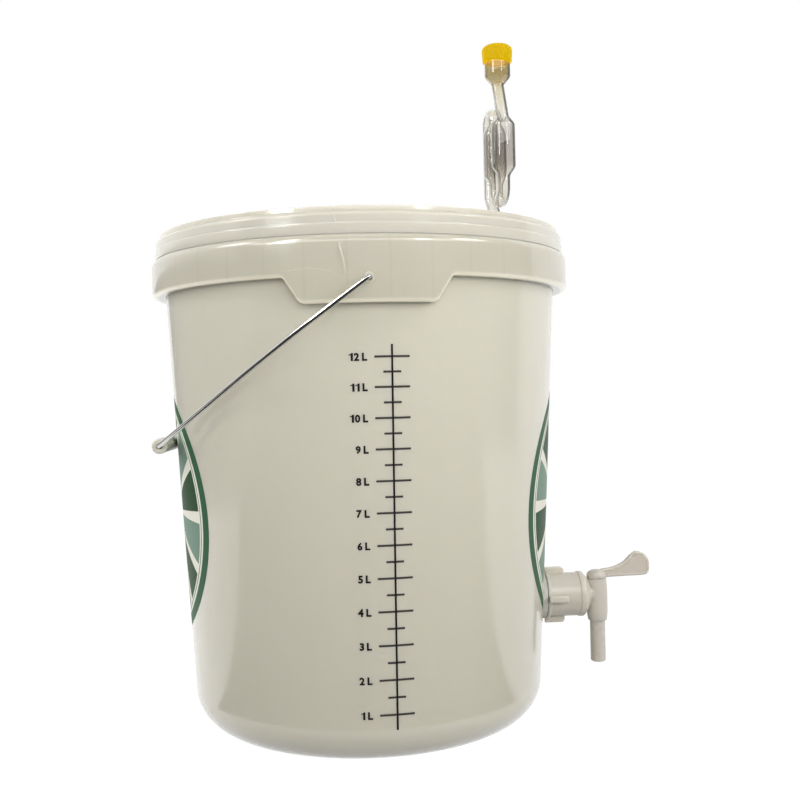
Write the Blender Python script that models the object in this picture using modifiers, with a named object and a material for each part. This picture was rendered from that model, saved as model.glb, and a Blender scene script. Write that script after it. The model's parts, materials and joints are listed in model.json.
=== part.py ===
"""Fermentation bucket with a sealing lid, an S-shaped airlock, a wire bail and a draw-off tap.

Metres, +Z up. The bucket stands on z = 0 and the origin is at the middle of
the footprint of the whole object. The bucket's own axis lies a little to -X
of it, because the lever of the tap reaches out to +X. The bail turns on two
holes at +Y and -Y, and the airlock stands on the lid on the tap's side.
"""

import math

import bmesh
import bpy
from mathutils import Matrix, Vector

# Fits and facets
CLEARANCE = 0.0003
OVERRUN = 0.002
MERGE = 0.00001
ROUND_STEPS = 60
SMALL_STEPS = 20
GRIP_STEPS = 16
WIRE_RESOLUTION = 2
AIRLOCK_RESOLUTION = 4
ARC_STEPS = 4
EDGE_ANGLE = math.radians(35)
FULL_TURN = math.tau
HALF_TURN = math.pi
QUARTER_TURN = math.pi / 2

# Turns of local Z to +X and to +Y, and of a flat outline so that it stands up or lies level
ALONG_X = (0, QUARTER_TURN, 0)
ALONG_Y = (-QUARTER_TURN, 0, 0)
UPRIGHT = (QUARTER_TURN, 0, 0)
LEVEL = (0, 0, 0)

# Bucket wall and foot
BASE_RADIUS = 0.1213
NECK_RADIUS = 0.1385
LEDGE_HEIGHT = 0.3232
WALL = 0.0018
FOOT_ROUND = 0.0275
FOOT_WIDTH = 0.0043
FOOT_STEP = 0.0025
FOOT_STEPS = 6
FLOOR_RISE = 0.0083

# Bead round the mouth, which the lid closes over
BEAD_PROUD = 0.0025
BEAD_RISE = 0.0108
BEAD_HEIGHT = 0.0046
BEAD_ROUND = 0.0020
MOUTH_ROUND = 0.0007

# Collar under the ledge, with the ribs behind it
COLLAR_REACH = 0.0079
COLLAR_DEPTH = 0.0252
COLLAR_ROUND = 0.0046
COLLAR_LIP = 0.0035
COLLAR_LIP_HEIGHT = 0.0050
COLLAR_LIP_ROUND = 0.0032
LEDGE_WALL = 0.0024
RIB_COUNT = 36
RIB_THICKNESS = 0.0012
RIB_GAP = 0.0020
RIB_SEAT = 0.0004

# Two tabs that deepen the collar, with the holes that carry the bail
TAB_DROP = 0.0160
TAB_HALF_WIDTH = 0.0413
TAB_FLARE = 0.0101
TAB_CORNER = 0.0060
TAB_PROUD = 0.0002
TAB_SEAT = 0.0010
PIVOT_BELOW_LEDGE = 0.0269
EYELET_WALL = 0.0023
EYELET_PROUD = 0.0010
EYELET_ROUND = 0.0006

# Bail and grip
WIRE_RADIUS = 0.0015
BAIL_BEYOND_COLLAR = 0.0228
BAIL_SPACE = 0.0045
BAIL_BEND = 0.0080
HOOK_BEND = 0.0020
HOOK_LENGTH = 0.0060
HOOK_SPACE = 0.0013
BAIL_ARC_STEPS = 12
GRIP_LENGTH = 0.1120
GRIP_RADIUS = 0.0051
GRIP_ROUND = 0.0010

# Lid
LID_WALL = 0.0018
LID_FIT = 0.0012
LID_BAND_HEIGHT = 0.0055
LID_BAND_STEP = 0.0005
LID_LIP_INSET = 0.0033
LID_LIP_HEIGHT = 0.0028
LID_LIP_ROUND = 0.0008
LID_SHOULDER = 0.0020
LID_SHOULDER_SHARE = 0.34
PANEL_DROP = 0.0063
PANEL_WALL = 0.0016
PANEL_FILLET = 0.0015
PLUG_DROP = 0.0045
DISC_GAP = 0.0234
DISC_RISE = 0.0020
DISC_SLOPE = 0.0020
GASKET_HEIGHT = 0.0029

# Airlock and its grommet
AIRLOCK_INSET = 0.0312
AIRLOCK_TURN = math.radians(-81)
AIRLOCK_WALL = 0.0010
STEM_RADIUS = 0.0045
STEM_TIP_TAPER = 0.0004
STEM_TIP_HEIGHT = 0.0040
STEM_REACH = 0.0194
STEM_RISE = 0.0100
RISER_OFFSET = 0.0232
RISER_SLANT = 0.0290
RISER_HEIGHT = 0.0545
RISER_BEND = 0.0080
BULB_OFFSET = 0.0093
BULB_RADIUS = 0.0088
BULB_LENGTH = 0.0280
BULB_SHOULDER = 0.0070
BULB_LOWER_SHOULDER = 0.0080
FAR_BULB_SHOULDER = 0.0100
FAR_BULB_DROP = 0.0105
NEAR_BULB_LIFT = 0.0032
LOWER_BEND_DROP = 0.0400
FUNNEL_RADIUS = 0.0094
FUNNEL_SHOULDER = 0.0068
FUNNEL_LENGTH = 0.0197
SLANT_TUBE_RISE = 0.0250
ARCH_STEPS = 8
SHOULDER_SHARES = [(0.0, 0.0), (0.22, 0.42), (0.58, 0.84), (1.0, 1.0)]
GROMMET_WALL = 0.0029
GROMMET_FLANGE = 0.0028
GROMMET_FLANGE_HEIGHT = 0.0020
CAP_HEIGHT = 0.0140
CAP_WALL = 0.0008
CAP_FLARE = 0.0010
CAP_TOP = 0.0015
CAP_ROUND = 0.0025

# Tap: body, washers, nut and the turning plug with its lever and spout
TAP_HEIGHT = 0.0786
WASHER_THICKNESS = 0.0028
WASHER_RADIUS = 0.0168
INNER_WASHER_THICKNESS = 0.0035
INNER_WASHER_RADIUS = 0.0165
NUT_THICKNESS = 0.0080
NUT_RADIUS = 0.0190
NUT_SIDES = 6
STUB_RADIUS = 0.0120
STUB_BEYOND_NUT = 0.0030
THREAD_DEPTH = 0.0007
THREAD_PITCH = 0.0022
THREAD_RIDGES = 5
FLANGE_THICKNESS = 0.0026
FLANGE_RADIUS = 0.0172
FLANGE_ROUND = 0.0008
FIN_RADIUS = 0.0201
FIN_LENGTH = 0.0143
FIN_THICKNESS = 0.0050
FIN_ROUND = 0.0025
BARREL_RADIUS = 0.0157
BARREL_LENGTH = 0.0222
END_PROUD = 0.0006
END_LENGTH = 0.0085
END_RING = 0.0033
END_BEVEL = 0.0054
END_ROUND = 0.0012
TAP_BORE = 0.0050
NECK_TUBE_RADIUS = 0.0070
SLEEVE_WALL = 0.0018
SLEEVE_SEAT = 0.0016
SLEEVE_ABOVE = 0.0111
SLEEVE_BELOW = 0.0196
SLEEVE_TAPER = 0.0008
SLEEVE_TAPER_HEIGHT = 0.0055
PLUG_RADIUS = 0.0055
PLUG_BORE = 0.0035
PLUG_BORE_ABOVE = 0.0040
SPOUT_LENGTH = 0.0303
SPOUT_ROUND = 0.0012
HUB_OVERHANG = 0.0018
HUB_HEIGHT = 0.0063
HUB_EDGE = 0.0020
LEVER_LENGTH = 0.0394
LEVER_HEIGHT = 0.0178
LEVER_THICKNESS = 0.0046
LEVER_OUTLINE_SHARES = [
    (0.06, 0.00), (0.50, 0.00), (0.88, 0.02), (0.96, 0.08), (1.00, 0.24),
    (1.00, 0.52), (0.975, 0.71), (0.91, 0.89), (0.82, 0.99), (0.73, 0.98),
    (0.645, 0.86), (0.56, 0.67), (0.48, 0.54), (0.38, 0.44), (0.25, 0.36),
    (0.06, 0.28),
]

# Sizes that follow from the ones above
TAPER = (NECK_RADIUS - BASE_RADIUS) / LEDGE_HEIGHT
LEAN = math.atan(TAPER)
MOUTH_RADIUS = NECK_RADIUS - WALL
BEAD_RADIUS = NECK_RADIUS + BEAD_PROUD
BEAD_TOP = LEDGE_HEIGHT + BEAD_RISE
COLLAR_RADIUS = NECK_RADIUS + COLLAR_REACH
COLLAR_BOTTOM = LEDGE_HEIGHT - COLLAR_DEPTH
TAB_BOTTOM = COLLAR_BOTTOM - TAB_DROP
TAB_RADIUS = COLLAR_RADIUS + TAB_PROUD
TAB_INNER_RADIUS = COLLAR_RADIUS - COLLAR_LIP + TAB_PROUD
PIVOT_HEIGHT = LEDGE_HEIGHT - PIVOT_BELOW_LEDGE
HOLE_RADIUS = WIRE_RADIUS + CLEARANCE
EYELET_FACE = TAB_RADIUS + EYELET_PROUD
BAIL_RADIUS = EYELET_FACE + WIRE_RADIUS + BAIL_SPACE
BAIL_LENGTH = COLLAR_RADIUS + BAIL_BEYOND_COLLAR
HOOK_PLACE = TAB_INNER_RADIUS - HOOK_SPACE - WIRE_RADIUS

LID_SKIRT_RADIUS = BEAD_RADIUS + LID_FIT + LID_WALL
LID_BOTTOM = LEDGE_HEIGHT + CLEARANCE
CROWN_UNDERSIDE = BEAD_TOP + GASKET_HEIGHT + 2 * CLEARANCE
LID_TOP = CROWN_UNDERSIDE + LID_WALL
LID_LIP_RADIUS = LID_SKIRT_RADIUS - LID_LIP_INSET
PLUG_OUTER = MOUTH_RADIUS - CLEARANCE
PLUG_INNER = PLUG_OUTER - LID_WALL
PANEL_TOP = LID_TOP - PANEL_DROP
PANEL_UNDERSIDE = PANEL_TOP - PANEL_WALL
AIRLOCK_OFFSET = PLUG_INNER - AIRLOCK_INSET
DISC_RADIUS = AIRLOCK_OFFSET - DISC_GAP

GROMMET_BORE = STEM_RADIUS + CLEARANCE
GROMMET_NECK = GROMMET_BORE + GROMMET_WALL
LID_HOLE_RADIUS = GROMMET_NECK + CLEARANCE
RISER_FOOT = PANEL_TOP + STEM_RISE
RISER_TOP = RISER_FOOT + RISER_SLANT + RISER_HEIGHT
ARCH_RADIUS = (RISER_OFFSET - BULB_OFFSET) / 2
FAR_BULB_TOP = RISER_TOP - FAR_BULB_DROP
LOWER_BEND_HEIGHT = FAR_BULB_TOP - LOWER_BEND_DROP
NEAR_BULB_TOP = FAR_BULB_TOP + NEAR_BULB_LIFT
SLANT_FOOT = NEAR_BULB_TOP + BULB_SHOULDER
FUNNEL_FOOT = SLANT_FOOT + SLANT_TUBE_RISE
FUNNEL_TOP = FUNNEL_FOOT + FUNNEL_SHOULDER + FUNNEL_LENGTH


def wall_radius(height):
    """Outer radius of the tapered wall at a height above the base."""
    return BASE_RADIUS + TAPER * height


TAP_WALL = wall_radius(TAP_HEIGHT)
OUTER_WASHER_FACE = TAP_WALL + CLEARANCE + WASHER_THICKNESS
FLANGE_BACK = OUTER_WASHER_FACE + CLEARANCE
FLANGE_FRONT = FLANGE_BACK + FLANGE_THICKNESS
BARREL_END = FLANGE_FRONT + BARREL_LENGTH
TAP_END = BARREL_END + END_LENGTH
SLEEVE_BORE = PLUG_RADIUS + CLEARANCE
SLEEVE_RADIUS = SLEEVE_BORE + SLEEVE_WALL
SLEEVE_PLACE = TAP_END + SLEEVE_RADIUS - SLEEVE_SEAT
INNER_WASHER_FACE = TAP_WALL - WALL - CLEARANCE - INNER_WASHER_THICKNESS
NUT_FRONT = INNER_WASHER_FACE - CLEARANCE
NUT_BACK = NUT_FRONT - NUT_THICKNESS
STUB_END = NUT_BACK - STUB_BEYOND_NUT
STUB_HOLE_RADIUS = STUB_RADIUS + CLEARANCE
LEVER_TIP = SLEEVE_PLACE + LEVER_LENGTH

# The bucket's axis, set so that the whole footprint is centred on the origin
BUCKET_AXIS_X = -(LEVER_TIP - COLLAR_RADIUS) / 2

# The bail rests where its grip meets the wall
GRIP_REACH = TAPER * PIVOT_HEIGHT + BASE_RADIUS + (GRIP_RADIUS + CLEARANCE) / math.cos(LEAN)
BAIL_REST_DROP = LEAN + math.acos(GRIP_REACH * math.cos(LEAN) / BAIL_LENGTH)


def clear_scene():
    """Remove what the scene held before."""
    for item in list(bpy.data.objects):
        bpy.data.objects.remove(item, do_unlink=True)


def new_collection(name):
    """Make a collection in the scene."""
    collection = bpy.data.collections.new(name)
    bpy.context.scene.collection.children.link(collection)
    return collection


clear_scene()
PARTS = new_collection("fermentation_bucket")
CUTTERS = new_collection("cutters")


def new_empty(name, parent, location, rotation=(0, 0, 0)):
    """Make an empty that pieces hang from."""
    empty = bpy.data.objects.new(name, None)
    PARTS.objects.link(empty)
    empty.parent = parent
    empty.location = location
    empty.rotation_euler = rotation
    return empty


def new_object(name, data, parent, location=(0, 0, 0), rotation=(0, 0, 0), cutter=False):
    """Put a mesh or a curve into the scene, as a part or as a cutter."""
    item = bpy.data.objects.new(name, data)
    (CUTTERS if cutter else PARTS).objects.link(item)
    item.parent = parent
    item.location = location
    item.rotation_euler = rotation
    if cutter:
        item.hide_render = True
        item.display_type = "WIRE"
    return item


def arc(centre_radius, centre_height, radius, start, end, steps=ARC_STEPS):
    """Points on an arc of a profile, by angles from +radius towards +height."""
    points = []
    for step in range(steps + 1):
        angle = start + (end - start) * step / steps
        points.append((centre_radius + radius * math.cos(angle), centre_height + radius * math.sin(angle)))
    return points


def rounded(points, radius, steps=ARC_STEPS):
    """Round the inner corners of an open run of 2D points."""
    run = [Vector(points[0])]
    for before, corner, after in zip(points, points[1:], points[2:]):
        corner = Vector(corner)
        back = (Vector(before) - corner).normalized()
        ahead = (Vector(after) - corner).normalized()
        half = back.angle(ahead) / 2
        reach = radius / math.tan(half)
        centre = corner + (back + ahead).normalized() * radius / math.sin(half)
        first = corner + back * reach - centre
        last = corner + ahead * reach - centre
        sweep = first.angle_signed(last)
        for step in range(steps + 1):
            run.append(centre + Matrix.Rotation(-sweep * step / steps, 2) @ first)
    run.append(Vector(points[-1]))
    return run


def turned(name, profile, steps, parent, closed=False, **place):
    """Turn a profile of (radius, height) points about Z. It runs down its outer side."""
    mesh = bpy.data.meshes.new(name)
    edges = [(index, index + 1) for index in range(len(profile) - 1)]
    if closed:
        edges.append((len(profile) - 1, 0))
    mesh.from_pydata([(radius, 0, height) for radius, height in profile], edges, [])
    item = new_object(name, mesh, parent, **place)
    screw = item.modifiers.new("turn", "SCREW")
    screw.axis = "Z"
    screw.angle = FULL_TURN
    screw.steps = steps
    screw.render_steps = steps
    screw.use_merge_vertices = True
    screw.merge_threshold = MERGE
    return item


def rod(name, radius, bottom, top, steps, parent, **place):
    """A solid cylinder about Z between two heights."""
    profile = [(0, top), (radius, top), (radius, bottom), (0, bottom)]
    return turned(name, profile, steps, parent, **place)


def blocks(name, size, matrices, parent, **place):
    """Equal boxes as one mesh, each centred by its matrix."""
    mesh = bpy.data.meshes.new(name)
    bm = bmesh.new()
    for matrix in matrices:
        bmesh.ops.create_cube(bm, size=1.0, matrix=matrix @ Matrix.Diagonal((*size, 1.0)))
    bm.to_mesh(mesh)
    bm.free()
    return new_object(name, mesh, parent, **place)


def mesh_from_curve(curve_object, cutter=False):
    """Replace a curve object by its mesh, with the caps welded on."""
    bpy.context.view_layer.update()
    graph = bpy.context.evaluated_depsgraph_get()
    mesh = bpy.data.meshes.new_from_object(curve_object.evaluated_get(graph))
    bm = bmesh.new()
    bm.from_mesh(mesh)
    bmesh.ops.remove_doubles(bm, verts=bm.verts, dist=MERGE)
    bm.to_mesh(mesh)
    bm.free()
    name = curve_object.name
    curve_object.name = name + "_curve"
    item = new_object(name, mesh, curve_object.parent, curve_object.location,
                      curve_object.rotation_euler, cutter)
    bpy.data.objects.remove(curve_object, do_unlink=True)
    return item


def tube(name, route, radius, resolution, parent, caps=True, swell=None, **place):
    """Sweep a round section along 3D points. Swell holds a radius for each point."""
    curve = bpy.data.curves.new(name, "CURVE")
    curve.dimensions = "3D"
    curve.bevel_depth = radius
    curve.bevel_resolution = resolution
    curve.use_fill_caps = caps
    spline = curve.splines.new("POLY")
    spline.points.add(len(route) - 1)
    for index, place_point in enumerate(route):
        spline.points[index].co = (*place_point, 1.0)
        if swell:
            spline.points[index].radius = swell[index] / radius
    return mesh_from_curve(new_object(name, curve, parent, **place))


def plate(name, outline, thickness, parent, location=(0, 0, 0), cutter=False, rotation=UPRIGHT):
    """A flat plate from an outline along X and, when upright, along Z, with its thickness along Y."""
    curve = bpy.data.curves.new(name, "CURVE")
    curve.dimensions = "2D"
    curve.fill_mode = "BOTH"
    curve.extrude = thickness / 2
    spline = curve.splines.new("POLY")
    spline.points.add(len(outline) - 1)
    spline.use_cyclic_u = True
    for index, (across, up) in enumerate(outline):
        spline.points[index].co = (across, up, 0, 1.0)
    flat = new_object(name, curve, parent, location, rotation)
    return mesh_from_curve(flat, cutter)


def combine(item, other, operation, solver="EXACT"):
    """Cut, join or intersect one solid with another."""
    modifier = item.modifiers.new(operation.lower(), "BOOLEAN")
    modifier.operation = operation
    modifier.solver = solver
    modifier.object = other


def finish(item, material):
    """Make the evaluated shape the object's own mesh, smooth except at its edges."""
    bpy.context.view_layer.update()
    graph = bpy.context.evaluated_depsgraph_get()
    mesh = bpy.data.meshes.new_from_object(item.evaluated_get(graph))
    item.modifiers.clear()
    item.data = mesh
    mesh.name = item.name
    mesh.shade_smooth()
    mesh.set_sharp_from_angle(angle=EDGE_ANGLE)
    mesh.materials.clear()
    mesh.materials.append(material)


def new_material(name, colour, roughness, metallic=0.0, transmission=0.0):
    """A Principled material with one colour."""
    material = bpy.data.materials.new(name)
    material.use_nodes = True
    shader = material.node_tree.nodes["Principled BSDF"]
    shader.inputs["Base Color"].default_value = (*colour, 1.0)
    shader.inputs["Roughness"].default_value = roughness
    shader.inputs["Metallic"].default_value = metallic
    shader.inputs["Transmission Weight"].default_value = transmission
    return material


MATERIALS = {
    "bucket": new_material("bucket_plastic", (0.560, 0.535, 0.460), 0.30),
    "lid": new_material("lid_plastic", (0.610, 0.570, 0.490), 0.30),
    "lid_gasket": new_material("gasket_rubber", (0.720, 0.700, 0.640), 0.60),
    "airlock_grommet": new_material("grommet_rubber", (0.080, 0.080, 0.080), 0.60),
    "airlock_tube": new_material("airlock_clear_plastic", (0.900, 0.900, 0.880), 0.08, 0.0, 0.9),
    "airlock_cap": new_material("airlock_cap_plastic", (0.900, 0.600, 0.000), 0.35),
    "bail_wire": new_material("bail_plated_steel", (0.700, 0.700, 0.700), 0.18, 1.0),
    "bail_grip": new_material("grip_plastic", (0.700, 0.700, 0.640), 0.30),
    "tap_body": new_material("tap_body_plastic", (0.640, 0.620, 0.570), 0.35),
    "tap_plug": new_material("tap_plug_plastic", (0.610, 0.600, 0.570), 0.35),
    "tap_outer_washer": new_material("outer_washer_rubber", (0.550, 0.540, 0.500), 0.60),
    "tap_inner_washer": new_material("inner_washer_rubber", (0.550, 0.540, 0.500), 0.60),
    "tap_backnut": new_material("backnut_plastic", (0.640, 0.620, 0.570), 0.35),
}

axis = new_empty("bucket_axis", None, (BUCKET_AXIS_X, 0, 0))


def foot_profile(offset, start, end):
    """The rounding between wall and base, moved inwards by an offset."""
    centre = BASE_RADIUS + TAPER * FOOT_ROUND - FOOT_ROUND * math.hypot(1, TAPER)
    return arc(centre, FOOT_ROUND, FOOT_ROUND - offset, start, end, FOOT_STEPS)


def bucket_profile():
    """Half section of the bucket: floor, inner wall, bead, ledge, collar, outer wall and foot."""
    foot_outer = foot_profile(0, -QUARTER_TURN, -QUARTER_TURN)[0][0]
    foot_inner = foot_outer - FOOT_WIDTH
    floor_edge = foot_inner - FOOT_STEP
    lip_top = COLLAR_BOTTOM + COLLAR_LIP_HEIGHT
    ledge_under = LEDGE_HEIGHT - LEDGE_WALL
    points = [(0, FLOOR_RISE + WALL), (floor_edge + WALL, FLOOR_RISE + WALL), (foot_inner + WALL, WALL)]
    points += foot_profile(WALL, -QUARTER_TURN, -LEAN)
    points += [
        (MOUTH_RADIUS, LEDGE_HEIGHT),
        (MOUTH_RADIUS, BEAD_TOP - MOUTH_ROUND),
        (MOUTH_RADIUS + MOUTH_ROUND, BEAD_TOP),
    ]
    points += arc(BEAD_RADIUS - BEAD_ROUND, BEAD_TOP - BEAD_ROUND, BEAD_ROUND, QUARTER_TURN, 0, 3)
    points += [
        (BEAD_RADIUS, BEAD_TOP - BEAD_HEIGHT + BEAD_PROUD / 2),
        (NECK_RADIUS, BEAD_TOP - BEAD_HEIGHT - BEAD_PROUD / 2),
        (NECK_RADIUS, LEDGE_HEIGHT),
    ]
    points += arc(COLLAR_RADIUS - COLLAR_ROUND, LEDGE_HEIGHT - COLLAR_ROUND, COLLAR_ROUND, QUARTER_TURN, 0)
    points += arc(COLLAR_RADIUS - COLLAR_LIP_ROUND, COLLAR_BOTTOM + COLLAR_LIP_ROUND, COLLAR_LIP_ROUND,
                  0, -QUARTER_TURN, 3)
    points += [
        (COLLAR_RADIUS - COLLAR_LIP, COLLAR_BOTTOM),
        (COLLAR_RADIUS - COLLAR_LIP, lip_top),
        (COLLAR_RADIUS - WALL, lip_top + COLLAR_LIP - WALL),
        (COLLAR_RADIUS - WALL, LEDGE_HEIGHT - COLLAR_ROUND),
        (COLLAR_RADIUS - COLLAR_ROUND, ledge_under),
        (wall_radius(ledge_under), ledge_under),
    ]
    points += foot_profile(0, -LEAN, -QUARTER_TURN)
    points += [(foot_inner, 0), (floor_edge, FLOOR_RISE), (0, FLOOR_RISE)]
    return points


def make_tabs():
    """Two curved tabs under the collar, cut from a ring by a tapered outline."""
    top = COLLAR_BOTTOM + COLLAR_LIP_HEIGHT - TAB_SEAT
    profile = [(TAB_RADIUS - TAB_SEAT, top), (TAB_RADIUS, top - COLLAR_LIP_ROUND)]
    profile += arc(TAB_RADIUS - COLLAR_LIP_ROUND, TAB_BOTTOM + COLLAR_LIP_ROUND, COLLAR_LIP_ROUND,
                   0, -QUARTER_TURN, 3)
    profile += [(TAB_INNER_RADIUS, TAB_BOTTOM), (TAB_INNER_RADIUS, top)]
    tabs = turned("tabs", profile, ROUND_STEPS, axis, closed=True, cutter=True)
    rise = (top - TAB_BOTTOM) * TAB_FLARE / TAB_DROP
    side = [
        (0, TAB_BOTTOM - CLEARANCE),
        (TAB_HALF_WIDTH, TAB_BOTTOM - CLEARANCE),
        (TAB_HALF_WIDTH + rise, top),
        (TAB_HALF_WIDTH + rise, top + OVERRUN),
    ]
    half = rounded(side[:3], TAB_CORNER) + [Vector(side[3])]
    outline = [tuple(point) for point in half[1:]]
    outline += [(-across, up) for across, up in reversed(outline)]
    prism = plate("tab_outline", outline, 2 * (TAB_RADIUS + OVERRUN), axis, cutter=True)
    combine(tabs, prism, "INTERSECT")
    return tabs


def make_ribs():
    """Upright ribs between the wall and the collar, set clear of the bail's holes."""
    bottom = COLLAR_BOTTOM + COLLAR_LIP_HEIGHT + COLLAR_LIP - WALL + RIB_GAP
    top = LEDGE_HEIGHT - LEDGE_WALL + RIB_SEAT
    inner = wall_radius(bottom) - WALL / 3
    outer = COLLAR_RADIUS - WALL + WALL / 3
    centre = Matrix.Translation(((inner + outer) / 2, 0, (bottom + top) / 2))
    turns = [FULL_TURN * (index + 0.5) / RIB_COUNT for index in range(RIB_COUNT)]
    matrices = [Matrix.Rotation(turn, 4, "Z") @ centre for turn in turns]
    return blocks("ribs", (outer - inner, RIB_THICKNESS, top - bottom), matrices, axis, cutter=True)


def make_bucket():
    """The bucket with its collar, tabs, eyelets and tap hole."""
    bucket = turned("bucket", bucket_profile(), ROUND_STEPS, axis)
    combine(bucket, make_ribs(), "UNION")
    combine(bucket, make_tabs(), "UNION")
    eyelet_radius = HOLE_RADIUS + EYELET_WALL
    eyelet_profile = [
        (0, EYELET_FACE),
        (eyelet_radius - EYELET_ROUND, EYELET_FACE),
        (eyelet_radius, EYELET_FACE - EYELET_ROUND),
        (eyelet_radius, TAB_RADIUS - COLLAR_LIP / 2),
        (0, TAB_RADIUS - COLLAR_LIP / 2),
    ]
    for side, rotation in (("far", ALONG_Y), ("near", UPRIGHT)):
        place = {"location": (0, 0, PIVOT_HEIGHT), "rotation": rotation, "cutter": True}
        eyelet = turned(side + "_eyelet", eyelet_profile, SMALL_STEPS, axis, **place)
        combine(bucket, eyelet, "UNION", "MANIFOLD")
        hole = rod(side + "_bail_hole", HOLE_RADIUS, TAB_INNER_RADIUS - HOOK_SPACE, EYELET_FACE + OVERRUN,
                   SMALL_STEPS, axis, **place)
        combine(bucket, hole, "DIFFERENCE", "MANIFOLD")
    tap_hole = rod("tap_hole", STUB_HOLE_RADIUS, NUT_FRONT, FLANGE_BACK, SMALL_STEPS, axis,
                   location=(0, 0, TAP_HEIGHT), rotation=ALONG_X, cutter=True)
    combine(bucket, tap_hole, "DIFFERENCE", "MANIFOLD")
    finish(bucket, MATERIALS["bucket"])


def lid_profile():
    """Half section of the lid: panel, rim channel over the bead, and the plug wall in the mouth."""
    lip_foot = LID_TOP - LID_LIP_HEIGHT
    shoulder_foot = lip_foot - LID_SHOULDER
    band_top = LID_BOTTOM + LID_BAND_HEIGHT
    upper_skirt = LID_SKIRT_RADIUS - LID_BAND_STEP
    crown_radius = LID_LIP_RADIUS - LID_WALL
    channel_radius = LID_SKIRT_RADIUS - LID_WALL
    plug_bottom = PANEL_UNDERSIDE - PLUG_DROP
    shoulder_step = (upper_skirt - LID_LIP_RADIUS) * LID_SHOULDER_SHARE
    return [
        (0, PANEL_TOP + DISC_RISE),
        (DISC_RADIUS, PANEL_TOP + DISC_RISE),
        (DISC_RADIUS + DISC_SLOPE, PANEL_TOP),
        (PLUG_INNER - PANEL_FILLET, PANEL_TOP),
        (PLUG_INNER, PANEL_TOP + PANEL_FILLET),
        (PLUG_INNER, LID_TOP - LID_LIP_ROUND),
        (PLUG_INNER + LID_LIP_ROUND, LID_TOP),
        (LID_LIP_RADIUS - LID_LIP_ROUND, LID_TOP),
        (LID_LIP_RADIUS, LID_TOP - LID_LIP_ROUND),
        (LID_LIP_RADIUS, lip_foot),
        (LID_LIP_RADIUS + shoulder_step, lip_foot - shoulder_step / 2),
        (upper_skirt - shoulder_step / 2, shoulder_foot + shoulder_step / 2),
        (upper_skirt, shoulder_foot - shoulder_step / 2),
        (upper_skirt, band_top + LID_BAND_STEP),
        (LID_SKIRT_RADIUS, band_top),
        (LID_SKIRT_RADIUS, LID_BOTTOM),
        (channel_radius, LID_BOTTOM),
        (channel_radius, shoulder_foot - LID_WALL),
        (crown_radius, lip_foot - LID_WALL / 2),
        (crown_radius, CROWN_UNDERSIDE),
        (PLUG_OUTER, CROWN_UNDERSIDE),
        (PLUG_OUTER, plug_bottom + LID_LIP_ROUND),
        (PLUG_OUTER - LID_LIP_ROUND, plug_bottom),
        (PLUG_INNER, plug_bottom),
        (PLUG_INNER, PANEL_UNDERSIDE),
        (DISC_RADIUS + DISC_SLOPE - PANEL_WALL / 2, PANEL_UNDERSIDE),
        (DISC_RADIUS - PANEL_WALL / 2, PANEL_UNDERSIDE + DISC_RISE),
        (0, PANEL_UNDERSIDE + DISC_RISE),
    ]


def make_lid():
    """The lid with the hole for the airlock's grommet, and the gasket in its rim."""
    lid = turned("lid", lid_profile(), ROUND_STEPS, axis)
    hole = rod("airlock_hole", LID_HOLE_RADIUS, PANEL_UNDERSIDE - OVERRUN, PANEL_TOP + OVERRUN,
               SMALL_STEPS, axis, location=(AIRLOCK_OFFSET, 0, 0), cutter=True)
    combine(lid, hole, "DIFFERENCE")
    finish(lid, MATERIALS["lid"])
    inner = PLUG_OUTER + CLEARANCE
    outer = LID_LIP_RADIUS - LID_WALL - CLEARANCE
    bottom = BEAD_TOP + CLEARANCE
    top = bottom + GASKET_HEIGHT
    section = [(inner, top), (outer, top), (outer, bottom), (inner, bottom)]
    gasket = turned("lid_gasket", section, ROUND_STEPS, axis, closed=True)
    finish(gasket, MATERIALS["lid_gasket"])


def shoulder(across, narrow_height, full_height, narrow, full):
    """Points where a tube swells from its narrow to its full radius."""
    return [(across, narrow_height + (full_height - narrow_height) * height_share,
             narrow + (full - narrow) * radius_share)
            for height_share, radius_share in SHOULDER_SHARES]


def airlock_route():
    """The airlock's centre line as (across, height, radius), from the stem's tip to the funnel's rim."""
    tip = PANEL_UNDERSIDE - STEM_REACH
    riser = [(0, tip + STEM_TIP_HEIGHT), (0, RISER_FOOT), (-RISER_OFFSET, RISER_FOOT + RISER_SLANT),
             (-RISER_OFFSET, RISER_TOP)]
    route = [(0, tip, STEM_RADIUS - STEM_TIP_TAPER)]
    route += [(*point, STEM_RADIUS) for point in rounded(riser, RISER_BEND)[:-1]]
    arch_centre = -BULB_OFFSET - ARCH_RADIUS
    route += [(*point, STEM_RADIUS)
              for point in arc(arch_centre, RISER_TOP, ARCH_RADIUS, HALF_TURN, 0, ARCH_STEPS)]
    far_bottom = FAR_BULB_TOP - BULB_LENGTH
    near_bottom = NEAR_BULB_TOP - BULB_LENGTH
    route += shoulder(-BULB_OFFSET, FAR_BULB_TOP + FAR_BULB_SHOULDER, FAR_BULB_TOP, STEM_RADIUS, BULB_RADIUS)
    route += reversed(shoulder(-BULB_OFFSET, far_bottom - BULB_LOWER_SHOULDER, far_bottom,
                               STEM_RADIUS, BULB_RADIUS))
    route += [(*point, STEM_RADIUS)
              for point in arc(0, LOWER_BEND_HEIGHT, BULB_OFFSET, HALF_TURN, FULL_TURN, ARCH_STEPS)]
    route += shoulder(BULB_OFFSET, near_bottom - BULB_LOWER_SHOULDER, near_bottom, STEM_RADIUS, BULB_RADIUS)
    route += reversed(shoulder(BULB_OFFSET, SLANT_FOOT, NEAR_BULB_TOP, STEM_RADIUS, BULB_RADIUS))
    route += shoulder(0, FUNNEL_FOOT, FUNNEL_FOOT + FUNNEL_SHOULDER, STEM_RADIUS, FUNNEL_RADIUS)
    route.append((0, FUNNEL_TOP, FUNNEL_RADIUS))
    return route


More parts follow.
